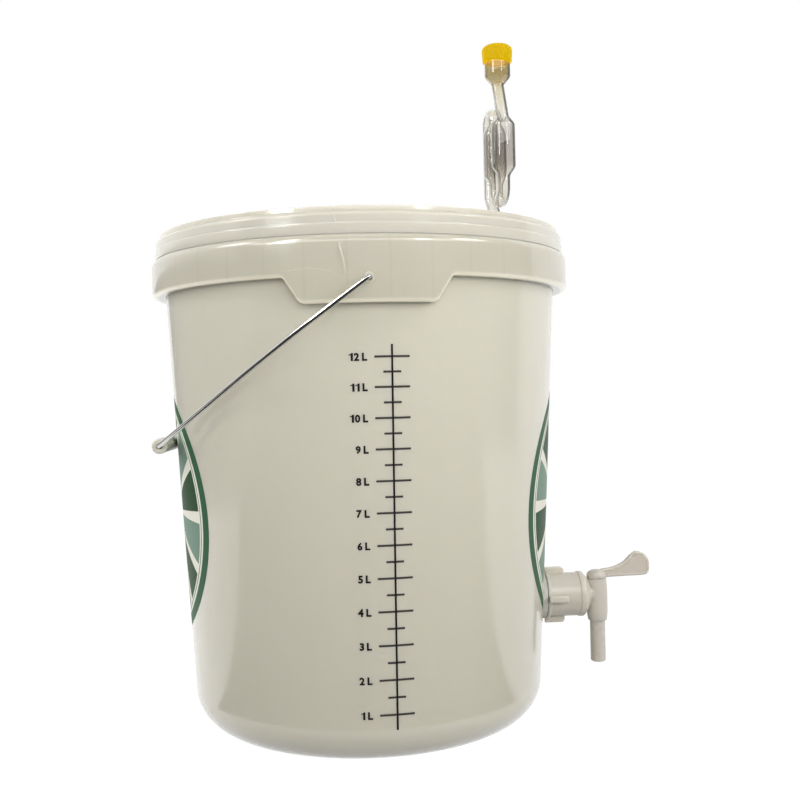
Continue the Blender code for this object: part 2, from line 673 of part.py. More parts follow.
def make_airlock():
    """The grommet in the lid, the bent tube with its two bulbs, and the cap on the funnel."""
    seat = new_empty("airlock_seat", axis, (AIRLOCK_OFFSET, 0, 0))
    flange_radius = GROMMET_NECK + GROMMET_FLANGE
    upper = PANEL_TOP + CLEARANCE
    lower = PANEL_UNDERSIDE - CLEARANCE
    section = [
        (GROMMET_BORE, upper + GROMMET_FLANGE_HEIGHT),
        (flange_radius, upper + GROMMET_FLANGE_HEIGHT),
        (flange_radius, upper),
        (GROMMET_NECK, upper),
        (GROMMET_NECK, lower),
        (flange_radius, lower),
        (flange_radius, lower - GROMMET_FLANGE_HEIGHT),
        (GROMMET_BORE, lower - GROMMET_FLANGE_HEIGHT),
    ]
    grommet = turned("airlock_grommet", section, SMALL_STEPS, seat, closed=True)
    finish(grommet, MATERIALS["airlock_grommet"])

    route = airlock_route()
    airlock = tube("airlock_tube", [(across, 0, height) for across, height, _ in route], STEM_RADIUS,
                   AIRLOCK_RESOLUTION, seat, caps=False, swell=[radius for _, _, radius in route],
                   rotation=(0, 0, AIRLOCK_TURN))
    shell = airlock.modifiers.new("wall", "SOLIDIFY")
    shell.thickness = AIRLOCK_WALL
    shell.offset = -1
    finish(airlock, MATERIALS["airlock_tube"])

    ceiling = FUNNEL_TOP + CLEARANCE
    top = ceiling + CAP_TOP
    bottom = top - CAP_HEIGHT
    inner = FUNNEL_RADIUS + CLEARANCE
    low_radius = inner + CAP_WALL
    high_radius = low_radius + CAP_FLARE
    profile = [(0, top)]
    profile += arc(high_radius - CAP_ROUND, top - CAP_ROUND, CAP_ROUND, QUARTER_TURN, 0, 3)
    profile += [(low_radius, bottom), (inner, bottom), (inner, ceiling), (0, ceiling)]
    cap = turned("airlock_cap", profile, SMALL_STEPS, seat)
    finish(cap, MATERIALS["airlock_cap"])


def bail_half():
    """Half of the bail in its plane, as (reach from the pivots, place along Y), from hook to grip."""
    corner = Vector((BAIL_LENGTH, GRIP_LENGTH / 2 + BAIL_BEND / 2))
    tangent_angle = corner.angle(Vector((1, 0))) + math.acos(BAIL_RADIUS / corner.length)
    arm = []
    for step in range(1, BAIL_ARC_STEPS + 1):
        angle = QUARTER_TURN + (tangent_angle - QUARTER_TURN) * step / BAIL_ARC_STEPS
        arm.append(Vector((BAIL_RADIUS * math.cos(angle), BAIL_RADIUS * math.sin(angle))))
    hook = [(HOOK_LENGTH, HOOK_PLACE), (0, HOOK_PLACE), (0, BAIL_RADIUS), tuple(arm[0])]
    middle = rounded([tuple(arm[-1]), tuple(corner), (BAIL_LENGTH, 0)], BAIL_BEND)
    return rounded(hook, HOOK_BEND) + arm[1:] + middle[1:-1]


def make_bail():
    """The wire bail, hooked through the tabs and resting on the wall, and the grip on it."""
    pivot = new_empty("bail_pivot", axis, (0, 0, PIVOT_HEIGHT), (0, -BAIL_REST_DROP, 0))
    half = bail_half()
    route = [(-reach, along, 0) for reach, along in half]
    route += [(-reach, -along, 0) for reach, along in reversed(half)]
    wire = tube("bail_wire", route, WIRE_RADIUS, WIRE_RESOLUTION, pivot)
    finish(wire, MATERIALS["bail_wire"])

    end = GRIP_LENGTH / 2
    section = [
        (HOLE_RADIUS, end),
        (GRIP_RADIUS - GRIP_ROUND, end),
        (GRIP_RADIUS, end - GRIP_ROUND),
        (GRIP_RADIUS, GRIP_ROUND - end),
        (GRIP_RADIUS - GRIP_ROUND, -end),
        (HOLE_RADIUS, -end),
    ]
    grip = turned("bail_grip", section, GRIP_STEPS, pivot, closed=True,
                  location=(-BAIL_LENGTH, 0, 0), rotation=ALONG_Y)
    finish(grip, MATERIALS["bail_grip"])


def tap_profile():
    """Half section of the tap's body along its barrel, from the bevelled end to the threaded stub."""
    end_radius = BARREL_RADIUS + END_PROUD
    bevel_radius = end_radius - END_BEVEL
    points = [
        (0, TAP_END),
        (bevel_radius - 2 * END_ROUND, TAP_END),
        (bevel_radius, TAP_END - END_ROUND),
        (end_radius, BARREL_END + END_RING),
        (end_radius, BARREL_END),
        (BARREL_RADIUS, BARREL_END - END_PROUD),
        (BARREL_RADIUS, FLANGE_FRONT),
        (FLANGE_RADIUS - FLANGE_ROUND, FLANGE_FRONT),
        (FLANGE_RADIUS, FLANGE_FRONT - FLANGE_ROUND),
        (FLANGE_RADIUS, FLANGE_BACK),
        (STUB_RADIUS - THREAD_DEPTH, FLANGE_BACK),
    ]
    start = STUB_END + (THREAD_RIDGES + 1 / 2) * THREAD_PITCH
    for ridge in range(THREAD_RIDGES):
        place = start - ridge * THREAD_PITCH
        points += [
            (STUB_RADIUS - THREAD_DEPTH, place),
            (STUB_RADIUS, place - THREAD_PITCH / 2),
        ]
    points += [(STUB_RADIUS - THREAD_DEPTH, start - THREAD_RIDGES * THREAD_PITCH),
               (STUB_RADIUS - THREAD_DEPTH, STUB_END), (0, STUB_END)]
    return points


def make_tap_body():
    """The tap's body: threaded stub, flange, barrel with four fins, and upright sleeve, with its bores."""
    along = {"location": (0, 0, TAP_HEIGHT), "rotation": ALONG_X}
    body = turned("tap_body", tap_profile(), SMALL_STEPS, axis, **along)

    fin_back = FLANGE_BACK + CLEARANCE
    fin_front = fin_back + FIN_LENGTH
    half = [(fin_back, FIN_RADIUS), (fin_front, FIN_RADIUS)]
    outline = rounded(half + [(across, -up) for across, up in reversed(half)], FIN_ROUND)
    for name, rotation in (("upright_fins", UPRIGHT), ("level_fins", LEVEL)):
        fins = plate(name, outline, FIN_THICKNESS, axis, (0, 0, TAP_HEIGHT), True, rotation)
        combine(body, fins, "UNION")

    sleeve_top = TAP_HEIGHT + SLEEVE_ABOVE
    sleeve_bottom = TAP_HEIGHT - SLEEVE_BELOW
    sleeve_profile = [
        (0, sleeve_top),
        (SLEEVE_RADIUS, sleeve_top),
        (SLEEVE_RADIUS, sleeve_bottom + SLEEVE_TAPER_HEIGHT),
        (SLEEVE_RADIUS - SLEEVE_TAPER, sleeve_bottom),
        (0, sleeve_bottom),
    ]
    upright = {"location": (SLEEVE_PLACE, 0, 0), "cutter": True}
    neck = rod("neck", NECK_TUBE_RADIUS, BARREL_END, SLEEVE_PLACE - SLEEVE_WALL, SMALL_STEPS, axis,
               cutter=True, **along)
    combine(body, neck, "UNION")
    combine(body, turned("sleeve", sleeve_profile, SMALL_STEPS, axis, **upright), "UNION")
    sleeve_bore = rod("sleeve_bore", SLEEVE_BORE, sleeve_bottom - OVERRUN, sleeve_top + OVERRUN,
                      SMALL_STEPS, axis, **upright)
    combine(body, sleeve_bore, "DIFFERENCE", "MANIFOLD")
    bore = rod("tap_bore", TAP_BORE, STUB_END - OVERRUN, SLEEVE_PLACE, SMALL_STEPS, axis,
               cutter=True, **along)
    combine(body, bore, "DIFFERENCE", "MANIFOLD")
    finish(body, MATERIALS["tap_body"])


def make_tap_plug():
    """The plug that turns in the sleeve, with its hub and lever above, its spout below and its port."""
    turn_axis = new_empty("tap_turn_axis", axis, (SLEEVE_PLACE, 0, TAP_HEIGHT))
    seat = SLEEVE_ABOVE + CLEARANCE
    hub_radius = PLUG_RADIUS + HUB_OVERHANG
    tip = -SLEEVE_BELOW - SPOUT_LENGTH
    dome = HUB_HEIGHT - HUB_EDGE
    profile = []
    for step in range(ARC_STEPS + 1):
        angle = QUARTER_TURN * (1 - step / ARC_STEPS)
        profile.append((hub_radius * math.cos(angle), seat + HUB_EDGE + dome * math.sin(angle)))
    profile[0] = (0, seat + HUB_HEIGHT)
    profile += [
        (hub_radius, seat),
        (PLUG_RADIUS, seat),
        (PLUG_RADIUS, tip + SPOUT_ROUND),
        (PLUG_RADIUS - SPOUT_ROUND, tip),
        (PLUG_BORE, tip),
        (PLUG_BORE, PLUG_BORE_ABOVE),
        (0, PLUG_BORE_ABOVE),
    ]
    plug = turned("tap_plug", profile, SMALL_STEPS, turn_axis)
    outline = [(LEVER_LENGTH * length_share, LEVER_HEIGHT * height_share)
               for length_share, height_share in LEVER_OUTLINE_SHARES]
    lever = plate("lever", outline, LEVER_THICKNESS, turn_axis, (0, 0, seat + CLEARANCE), cutter=True)
    combine(plug, lever, "UNION")
    port = rod("plug_port", PLUG_BORE, -PLUG_RADIUS - OVERRUN, 0, SMALL_STEPS, turn_axis, rotation=ALONG_X,
               cutter=True)
    combine(plug, port, "DIFFERENCE")
    finish(plug, MATERIALS["tap_plug"])


def ring(name, radius, back, front, steps):
    """A ring round the tap's stub between two places along X."""
    section = [(STUB_HOLE_RADIUS, front), (radius, front), (radius, back), (STUB_HOLE_RADIUS, back)]
    return turned(name, section, steps, axis, closed=True, location=(0, 0, TAP_HEIGHT), rotation=ALONG_X)


def wall_cone(name, offset):
    """A solid that follows the tapered wall round the tap, moved outwards by an offset."""
    low = TAP_HEIGHT - FLANGE_RADIUS - OVERRUN
    high = TAP_HEIGHT + FLANGE_RADIUS + OVERRUN
    profile = [(0, high), (wall_radius(high) + offset, high), (wall_radius(low) + offset, low), (0, low)]
    return turned(name, profile, ROUND_STEPS, axis, cutter=True)


def make_tap_fastening():
    """The washers shaped to the wall's two sides, and the nut inside."""
    outer_washer = ring("tap_outer_washer", WASHER_RADIUS, NUT_BACK, OUTER_WASHER_FACE, SMALL_STEPS)
    combine(outer_washer, wall_cone("outside_wall", CLEARANCE), "DIFFERENCE")
    finish(outer_washer, MATERIALS["tap_outer_washer"])

    inner_washer = ring("tap_inner_washer", INNER_WASHER_RADIUS, INNER_WASHER_FACE, OUTER_WASHER_FACE,
                        SMALL_STEPS)
    combine(inner_washer, wall_cone("inside_wall", -WALL - CLEARANCE), "INTERSECT")
    finish(inner_washer, MATERIALS["tap_inner_washer"])

    along = {"location": (0, 0, TAP_HEIGHT), "rotation": ALONG_X}
    nut = rod("tap_backnut", NUT_RADIUS, NUT_BACK, NUT_FRONT, NUT_SIDES, axis, **along)
    bore = rod("nut_bore", STUB_HOLE_RADIUS, NUT_BACK - OVERRUN, NUT_FRONT + OVERRUN, SMALL_STEPS, axis,
               cutter=True, **along)
    combine(nut, bore, "DIFFERENCE")
    finish(nut, MATERIALS["tap_backnut"])


make_bucket()
make_lid()
make_airlock()
make_bail()
make_tap_body()
make_tap_plug()
make_tap_fastening()
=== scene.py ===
"""Looks of a fermentation bucket with its lid, airlock, wire bail and tap.

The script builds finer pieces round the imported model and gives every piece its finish.
All lengths are in metres. Radii are taken from the bucket's upright axis and heights from
the surface that it stands on. Turns go anticlockwise seen from above, from +X.
"""

import json
import math

import bmesh
import bpy
from mathutils import Euler, Matrix, Vector


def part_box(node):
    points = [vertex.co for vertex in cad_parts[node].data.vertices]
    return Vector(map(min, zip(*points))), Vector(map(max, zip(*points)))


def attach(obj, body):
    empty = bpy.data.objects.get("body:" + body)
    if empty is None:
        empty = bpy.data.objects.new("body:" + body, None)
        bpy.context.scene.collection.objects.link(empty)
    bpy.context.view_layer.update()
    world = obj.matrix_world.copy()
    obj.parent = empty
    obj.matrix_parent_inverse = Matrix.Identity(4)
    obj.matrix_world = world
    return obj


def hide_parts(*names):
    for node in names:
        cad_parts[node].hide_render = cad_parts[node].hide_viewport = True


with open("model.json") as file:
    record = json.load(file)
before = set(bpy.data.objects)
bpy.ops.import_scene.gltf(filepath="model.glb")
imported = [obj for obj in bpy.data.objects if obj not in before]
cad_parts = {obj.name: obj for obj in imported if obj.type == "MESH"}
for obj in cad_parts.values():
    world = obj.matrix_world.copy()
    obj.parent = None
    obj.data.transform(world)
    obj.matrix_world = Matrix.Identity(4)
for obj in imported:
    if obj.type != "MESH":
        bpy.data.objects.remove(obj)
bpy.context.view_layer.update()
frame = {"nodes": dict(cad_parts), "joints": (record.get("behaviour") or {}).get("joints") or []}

# Smoothness and fits
FULL_TURN = math.tau
HALF_TURN = math.pi
QUARTER_TURN = math.pi / 2
MERGE = 0.00001
DOUBLES = 0.000001
CLEARANCE = 0.0003
SEAT_GAP = 0.00008
OVERRUN = 0.002
EDGE_ANGLE = math.radians(38)
ROUND_STEPS = 240
SMALL_STEPS = 64
HOLE_STEPS = 32
BEND_STEPS = 8
SOFT_STEPS = 4
SOFT_SHARE = 0.45
FLOW_STEPS = 5
INSET_LIMIT = 0.5
ROLL_SHARE = 0.3

# Bucket wall, foot and floor
BASE_RADIUS = 0.1213
NECK_RADIUS = 0.1385
LEDGE_HEIGHT = 0.3232
WALL = 0.0018
FOOT_ROUND = 0.0275
FOOT_WIDTH = 0.0043
FOOT_STEP = 0.0025
FOOT_STEPS = 14
FLOOR_RISE = 0.0083
FOOT_EDGE_ROUND = 0.0012

# Bead round the mouth
BEAD_PROUD = 0.0025
BEAD_RISE = 0.0108
BEAD_HEIGHT = 0.0046
BEAD_ROUND = 0.0020

# Collar, its lip and its ribs
COLLAR_REACH = 0.0079
COLLAR_DEPTH = 0.0252
COLLAR_ROUND = 0.0056
COLLAR_LIP = 0.0035
COLLAR_LIP_HEIGHT = 0.0050
COLLAR_LIP_ROUND = 0.0030
COLLAR_WEB = 0.0016
COLLAR_WEB_GAP = 0.00015
LEDGE_WALL = 0.0024
LEDGE_STEPS = 4
RIB_COUNT = 36
RIB_THICKNESS = 0.0012
RIB_GAP = 0.0020
COLLAR_OUTLINE_SHARE = 0.7
COLLAR_FILL_TURN = math.radians(1.5)
COLLAR_FILL_GAP = math.radians(0.35)

# Tabs that deepen the collar round the bail's holes
TAB_DROP = 0.0160
TAB_HALF_WIDTH = 0.0413
TAB_FLARE = 0.0101
TAB_CORNER = 0.0060
TAB_FILLET = 0.0040
PIVOT_BELOW_LEDGE = 0.0269
EYELET_WALL = 0.0014
EYELET_PROUD = 0.0011
EYELET_ROUND = 0.0007

# Tear-off mark on the front of the collar, as turns from the front and heights
GROOVE_PLACES = [(-20.5, 0.3010), (-17.0, 0.3020), (-13.0, 0.3024), (-9.5, 0.3010), (-5.8, 0.2972)]
TEAR_LINE_PLACES = [(-5.6, 0.2962), (-5.5, 0.3010), (-5.9, 0.3070), (-6.5, 0.3130), (-6.9, 0.3180)]
GROOVE_RADIUS = 0.00035
TEAR_LINE_RADIUS = 0.0011
TEAR_LINE_SINK = 0.0005
LINE_END_SHARE = 0.3
LINE_SIDES = 10

# Bail and grip
WIRE_RADIUS = 0.0015
BAIL_BEYOND_COLLAR = 0.0228
BAIL_SPACE = 0.0045
BAIL_BEND = 0.0080
HOOK_BEND = 0.0020
HOOK_LENGTH = 0.0060
HOOK_SPACE = 0.0013
BAIL_ARC_STEPS = 60
HOOK_ARC_PARTS = 12
WIRE_SIDES = 20
GRIP_LENGTH = 0.1120
GRIP_RADIUS = 0.0051
GRIP_ROUND = 0.0010

# Lid
LID_WALL = 0.0018
LID_FIT = 0.0012
LID_BAND_HEIGHT = 0.0055
LID_BAND_STEP = 0.0005
LID_LIP_INSET = 0.0033
LID_LIP_HEIGHT = 0.0028
LID_SHOULDER = 0.0020
LID_SHOULDER_SHARE = 0.34
LID_EDGE_ROUND = 0.0003
LID_MARK_PLACES = [(-7.9, 0.3336), (-7.7, 0.3300), (-7.3, 0.3262)]
LID_MARK_RADIUS = 0.0009
LID_MARK_SINK = 0.0004
PANEL_DROP = 0.0063
PANEL_WALL = 0.0016
PLUG_DROP = 0.0045
DISC_GAP = 0.0234
DISC_RISE = 0.0020
DISC_SLOPE = 0.0020
GASKET_HEIGHT = 0.0029

# Airlock and its cap
AIRLOCK_INSET = 0.0312
AIRLOCK_TURN = math.radians(-81)
AIRLOCK_WALL = 0.0010
AIRLOCK_SIDES = 40
STEM_RADIUS = 0.0045
STEM_TIP_TAPER = 0.0004
STEM_TIP_HEIGHT = 0.0040
STEM_REACH = 0.0194
STEM_RISE = 0.0100
RISER_OFFSET = 0.0232
RISER_SLANT = 0.0290
RISER_HEIGHT = 0.0545
RISER_BEND = 0.0080
BULB_OFFSET = 0.0093
BULB_RADIUS = 0.0088
BULB_LENGTH = 0.0280
BULB_SHOULDER = 0.0070
BULB_LOWER_SHOULDER = 0.0080
FAR_BULB_SHOULDER = 0.0100
FAR_BULB_DROP = 0.0105
NEAR_BULB_LIFT = 0.0032
LOWER_BEND_DROP = 0.0400
FUNNEL_RADIUS = 0.0094
FUNNEL_SHOULDER = 0.0068
FUNNEL_LENGTH = 0.0197
SLANT_TUBE_RISE = 0.0250
ARCH_STEPS = 24
SHOULDER_STEPS = 12
SWELL_SINE = 0.55
SWELL_SMOOTH = 0.45
GROMMET_WALL = 0.0029
CAP_HEIGHT = 0.0122
CAP_WALL = 0.0008
CAP_FLARE = 0.0006
CAP_TOP = 0.0015
CAP_ROUND = 0.0040

# Tap
TAP_HEIGHT = 0.0786
WASHER_THICKNESS = 0.0028
STUB_RADIUS = 0.0120
TAP_HOLE_REACH = 0.02
THREAD_DEPTH = 0.0007
FLANGE_THICKNESS = 0.0026
FLANGE_RADIUS = 0.0172
FLANGE_ROUND = 0.0009
FIN_RADIUS = 0.0201
FIN_LENGTH = 0.0143
FIN_THICKNESS = 0.0050
FIN_ROUND = 0.0025
FIN_EDGE = 0.0007
BARREL_RADIUS = 0.0157
BARREL_LENGTH = 0.0222
END_PROUD = 0.0006
END_LENGTH = 0.0085
END_RING = 0.0033
END_BEVEL = 0.0054
END_ROUND = 0.0012
TAP_BORE = 0.0050
NECK_TUBE_RADIUS = 0.0070
SLEEVE_WALL = 0.0018
SLEEVE_SEAT = 0.0016
SLEEVE_ABOVE = 0.0111
SLEEVE_BELOW = 0.0196
SLEEVE_TAPER = 0.0008
SLEEVE_TAPER_HEIGHT = 0.0055
SLEEVE_SHOULDER = 0.0055
SLEEVE_SHOULDER_STEP = 0.0007
PLUG_RADIUS = 0.0055
PLUG_BORE = 0.0035
PLUG_BORE_ABOVE = 0.0040
SPOUT_LENGTH = 0.0303
SPOUT_ROUND = 0.0016
HUB_OVERHANG = 0.0018
HUB_HEIGHT = 0.0063
HUB_EDGE = 0.0020
LEVER_LENGTH = 0.0394
LEVER_HEIGHT = 0.0178
LEVER_THICKNESS = 0.0046
LEVER_ROUND = 0.0009
LEVER_BORDER = 0.0007
LEVER_RECESS = 0.0005
LEVER_OUTLINE_SHARES = [
    (0.06, 0.00), (0.50, 0.00), (0.88, 0.02), (0.96, 0.08), (1.00, 0.24),
    (1.00, 0.52), (0.975, 0.71), (0.91, 0.89), (0.82, 0.99), (0.73, 0.98),
    (0.645, 0.86), (0.56, 0.67), (0.48, 0.54), (0.38, 0.44), (0.25, 0.36),
    (0.06, 0.28),
]

# Printed litre scale
PRINT_PROUD = 0.00008
PRINT_SEAT = 0.00004
SCALE_TURN = math.radians(-84.42)
LITRE_HEIGHTS = [0.0337, 0.0551, 0.0762, 0.0969, 0.1172, 0.1372, 0.1568, 0.1761, 0.1952, 0.2139,
                 0.2324, 0.2505]
SCALE_LINE_BOTTOM = 0.0242
SCALE_LINE_TOP = 0.2578
SCALE_LINE_WIDTH = 0.0012
LITRE_TICK_LENGTH = 0.0214
HALF_TICK_LENGTH = 0.0108
TICK_WIDTH = 0.0013
TICK_PIECES = 15
LINE_PIECES = 3
DIGIT_HEIGHT = 0.0048
DIGIT_GAP = 0.0042
DIGIT_WEIGHT = 0.045
GLYPH_GAP = 0.0005
WORD_GAP = 0.0016
GLYPH_HALF_DEPTH = 0.5
GLYPH_STEPS = 3
ONE_OUTLINE = [
    (0.26, 0.0), (0.54, 0.0), (0.54, 1.0), (0.34, 1.0),
    (0.27, 0.89), (0.0, 0.80), (0.0, 0.68), (0.26, 0.74),
]
ONE_FACES = [(0, 1, 2, 3, 4, 7), (4, 5, 6, 7)]

# Printed round labels over the tap and opposite it
LABEL_HEIGHT = 0.1505
LABEL_RADIUS = 0.0820
LABEL_RING = 0.0075
LABEL_LINE = 0.0022
LABEL_PETALS = 12
PETAL_INNER = 0.0240
PETAL_OUTER = 0.0695
PETAL_SHARE = 0.78
LABEL_HEART = 0.0175
LABEL_LIFT = 0.00003
LABEL_STEPS = 120
LABEL_BAND = 0.004
LABEL_CENTRE = 0.0001
SECTOR_STEPS = 4

# Sizes that follow from the ones above
TAPER = (NECK_RADIUS - BASE_RADIUS) / LEDGE_HEIGHT
LEAN = math.atan(TAPER)
MOUTH_RADIUS = NECK_RADIUS - WALL
BEAD_RADIUS = NECK_RADIUS + BEAD_PROUD
BEAD_TOP = LEDGE_HEIGHT + BEAD_RISE
COLLAR_RADIUS = NECK_RADIUS + COLLAR_REACH
COLLAR_BOTTOM = LEDGE_HEIGHT - COLLAR_DEPTH
TAB_BOTTOM = COLLAR_BOTTOM - TAB_DROP
PIVOT_HEIGHT = LEDGE_HEIGHT - PIVOT_BELOW_LEDGE
HOLE_RADIUS = WIRE_RADIUS + CLEARANCE
EYELET_FACE = COLLAR_RADIUS + EYELET_PROUD
BAIL_RADIUS = EYELET_FACE + WIRE_RADIUS + BAIL_SPACE
BAIL_LENGTH = COLLAR_RADIUS + BAIL_BEYOND_COLLAR
HOOK_PLACE = COLLAR_RADIUS - COLLAR_LIP - HOOK_SPACE - WIRE_RADIUS

LID_SKIRT_RADIUS = BEAD_RADIUS + LID_FIT + LID_WALL
LID_BOTTOM = LEDGE_HEIGHT + SEAT_GAP
LEDGE_REACH = LID_SKIRT_RADIUS - COLLAR_RADIUS + COLLAR_ROUND
LEDGE_DROP = COLLAR_ROUND - math.sqrt(COLLAR_ROUND ** 2 - LEDGE_REACH ** 2)
CROWN_UNDERSIDE = BEAD_TOP + GASKET_HEIGHT + 2 * CLEARANCE
LID_TOP = CROWN_UNDERSIDE + LID_WALL
LID_LIP_RADIUS = LID_SKIRT_RADIUS - LID_LIP_INSET
PLUG_OUTER = MOUTH_RADIUS - CLEARANCE
PLUG_INNER = PLUG_OUTER - LID_WALL
PANEL_TOP = LID_TOP - PANEL_DROP
PANEL_UNDERSIDE = PANEL_TOP - PANEL_WALL
AIRLOCK_OFFSET = PLUG_INNER - AIRLOCK_INSET
DISC_RADIUS = AIRLOCK_OFFSET - DISC_GAP
LID_HOLE_RADIUS = STEM_RADIUS + GROMMET_WALL + 2 * CLEARANCE

RISER_FOOT = PANEL_TOP + STEM_RISE
RISER_TOP = RISER_FOOT + RISER_SLANT + RISER_HEIGHT
ARCH_RADIUS = (RISER_OFFSET - BULB_OFFSET) / 2
FAR_BULB_TOP = RISER_TOP - FAR_BULB_DROP
LOWER_BEND_HEIGHT = FAR_BULB_TOP - LOWER_BEND_DROP
NEAR_BULB_TOP = FAR_BULB_TOP + NEAR_BULB_LIFT
SLANT_FOOT = NEAR_BULB_TOP + BULB_SHOULDER
FUNNEL_FOOT = SLANT_FOOT + SLANT_TUBE_RISE
FUNNEL_TOP = FUNNEL_FOOT + FUNNEL_SHOULDER + FUNNEL_LENGTH

OUTER_WASHER_FACE = BASE_RADIUS + TAPER * TAP_HEIGHT + CLEARANCE + WASHER_THICKNESS
FLANGE_BACK = OUTER_WASHER_FACE + CLEARANCE
FLANGE_FRONT = FLANGE_BACK + FLANGE_THICKNESS
BARREL_END = FLANGE_FRONT + BARREL_LENGTH
TAP_END = BARREL_END + END_LENGTH
SLEEVE_BORE = PLUG_RADIUS + CLEARANCE
SLEEVE_RADIUS = SLEEVE_BORE + SLEEVE_WALL
SLEEVE_PLACE = TAP_END + SLEEVE_RADIUS - SLEEVE_SEAT

PRINT_DEPTH = PRINT_PROUD + PRINT_SEAT
PRINT_MIDDLE = (PRINT_PROUD - PRINT_SEAT) / 2

# Places in the frame
JOINTS = {joint["name"]: joint for joint in frame["joints"]}
BUCKET_LOW, BUCKET_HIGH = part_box("bucket")
AXIS_X = (BUCKET_LOW.x + BUCKET_HIGH.x) / 2
AXIS = Matrix.Translation((AXIS_X, 0, 0))
STUB_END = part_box("tap_body")[0].x - AXIS_X
ALONG_X = Matrix.Rotation(QUARTER_TURN, 4, "Y")
ALONG_Y = Matrix.Rotation(-QUARTER_TURN, 4, "X")
ALONG_MINUS_Y = Matrix.Rotation(QUARTER_TURN, 4, "X")
FRONT = -QUARTER_TURN
TAP_AXIS = AXIS @ Matrix.Translation((0, 0, TAP_HEIGHT)) @ ALONG_X
TAP_TURN_AXIS = Matrix.Translation(JOINTS["tap_turn"]["pos_m"])
AIRLOCK_SEAT = AXIS @ Matrix.Translation((AIRLOCK_OFFSET, 0, 0))
GRIP_REACH = TAPER * PIVOT_HEIGHT + BASE_RADIUS + (GRIP_RADIUS + CLEARANCE) / math.cos(LEAN)
BAIL_REST_DROP = LEAN + math.acos(GRIP_REACH * math.cos(LEAN) / BAIL_LENGTH)
BAIL_PLANE = Matrix.Translation(JOINTS["bail_swing"]["pos_m"]) @ Matrix.Rotation(-BAIL_REST_DROP, 4, "Y")


# Patterns of the finishes, as lumps to the metre, detail and stretch
CLOUDS = (18, 3.0)
STREAKS = (40, 2.0, (1, 1, 0.08))
SCUFFS = (260, 4.0)
RIPPLES = (300, 1.0)
INK_SPOTS = (1500, 3.0)
INK_GLOSS = (700, 2.0)
INK_GRAIN = (2200, 2.0)
DUST = (350, 3.0)
RUBBER_GRAIN = (1800, 3.0)
PLATING_PATCHES = (120, 3.0)
WIRE_SCRATCHES = (700, 2.0, (1, 0.15, 1))
BLOWN_RIPPLES = (90, 1.0, (1, 1, 0.3))

# Strengths of the finishes
MIDDLE = 0.5
SUBSURFACE_WEIGHT = 0.6
SUBSURFACE_RADIUS = (1.0, 0.92, 0.70)
STREAKS_SHARE = 0.5
RIPPLES_SHARE = 0.4
MOULDED_DARK = 0.80
MOULDED_LIGHT = 1.20
MOULDED_SPREAD = 0.06
MOULDED_RELIEF = 0.000004
# Painted shade on the collar, most at its ribs, and towards the foot, and a painted glow on the collar's
# lower edge
RIB_BLUR = 0.06
RIB_PAINTED_SHADE = 0.20
EDGE_FACING = 0.7
EDGE_PAINTED_GLOW = 0.42
FOOT_PAINTED_SHADE = 0.22
INK_SPECULAR = 0.12
INK_THIN = (0.55, 0.80)
INK_THIN_SHARE = 0.5
INK_PALE = (0.85, 0.04)
INK_ROUGHNESS = 0.45
INK_SPREAD = 0.15
INK_RELIEF = 0.00001
RUBBER_SPECULAR = 0.3
RUBBER_PALE = (1.35, 0.01)
DUST_SHARE = 0.5
DUST_SPREAD = 0.2
RUBBER_ROUGHNESS = 0.5
RUBBER_RELIEF = 0.00004
PATCHES_SPREAD = 0.08
SCRATCHES_SPREAD = 0.05
WIRE_ROUGHNESS = 0.05
WIRE_RELIEF = 0.00001
CLEAR_IOR = 1.49
CLEAR_ROUGHNESS = 0.02
CLEAR_RELIEF = 0.00012
CLEAR_STRENGTH = 0.5
CAP_ROUGHNESS = 0.45
CAP_MOTTLE = 0.08
CAP_DEPTH = 0.003
CAP_SPECULAR = 0.06


# Places and steps

def wall_radius(height):
    """Outer radius of the tapered wall at a height."""
    return BASE_RADIUS + TAPER * height


def spread(start, end, steps):
    """Numbers in even steps from start to end, with both."""
    return [start + (end - start) * step / steps for step in range(steps + 1)]


def polar(radius, turn):
    """Place in a plane at a radius and a turn."""
    return radius * math.cos(turn), radius * math.sin(turn)


def round_bucket(radius, turn, height):
    """Place round the bucket's axis."""
    x, y = polar(radius, turn)
    return AXIS_X + x, y, height


# Colours

BLACK = (0, 0, 0, 1)
WHITE = (1, 1, 1, 1)


def linear(red, green, blue):
    """A colour given as screen values from 0 to 255, as the shaders take it."""
    shares = [value / 255 for value in (red, green, blue)]
    values = [share / 12.92 if share <= 0.04045 else ((share + 0.055) / 1.055) ** 2.4 for share in shares]
    return (*values, 1.0)


def scaled(colour, factor, lift=0.0):
    """A colour made darker or paler by a factor, and lifted evenly."""
    return tuple(min(value * factor + lift, 1.0) for value in colour[:3]) + (1.0,)


def even_grey(level):
    """A grey of that level."""
    return (level, level, level, 1.0)


# Node trees

class Level:
    """A number that varies over a surface, with the arithmetic that the finishes use."""

    def __init__(self, nodes, socket):
        self.nodes = nodes
        self.socket = socket

    def maths(self, operation, *values):
        """The outcome of one Math node, on the number itself if no other values are given."""
        made = self.nodes.add("ShaderNodeMath", {"operation": operation}, dict(enumerate(values or (self,))))
        return Level(self.nodes, made.outputs["Value"])

    def swing(self):
        """How far the number is over the middle between 0 and 1."""
        return self - MIDDLE

    def folded(self):
        """How far the number is from the middle between two whole numbers."""
        return self.maths("FRACT").swing().maths("ABSOLUTE")

    def __add__(self, other):
        return self.maths("ADD", self, other)

    def __sub__(self, other):
        return self.maths("SUBTRACT", self, other)

    def __rsub__(self, other):
        return self.maths("SUBTRACT", other, self)

    def __mul__(self, other):
        return self.maths("MULTIPLY", self, other)

    __radd__ = __add__
    __rmul__ = __mul__


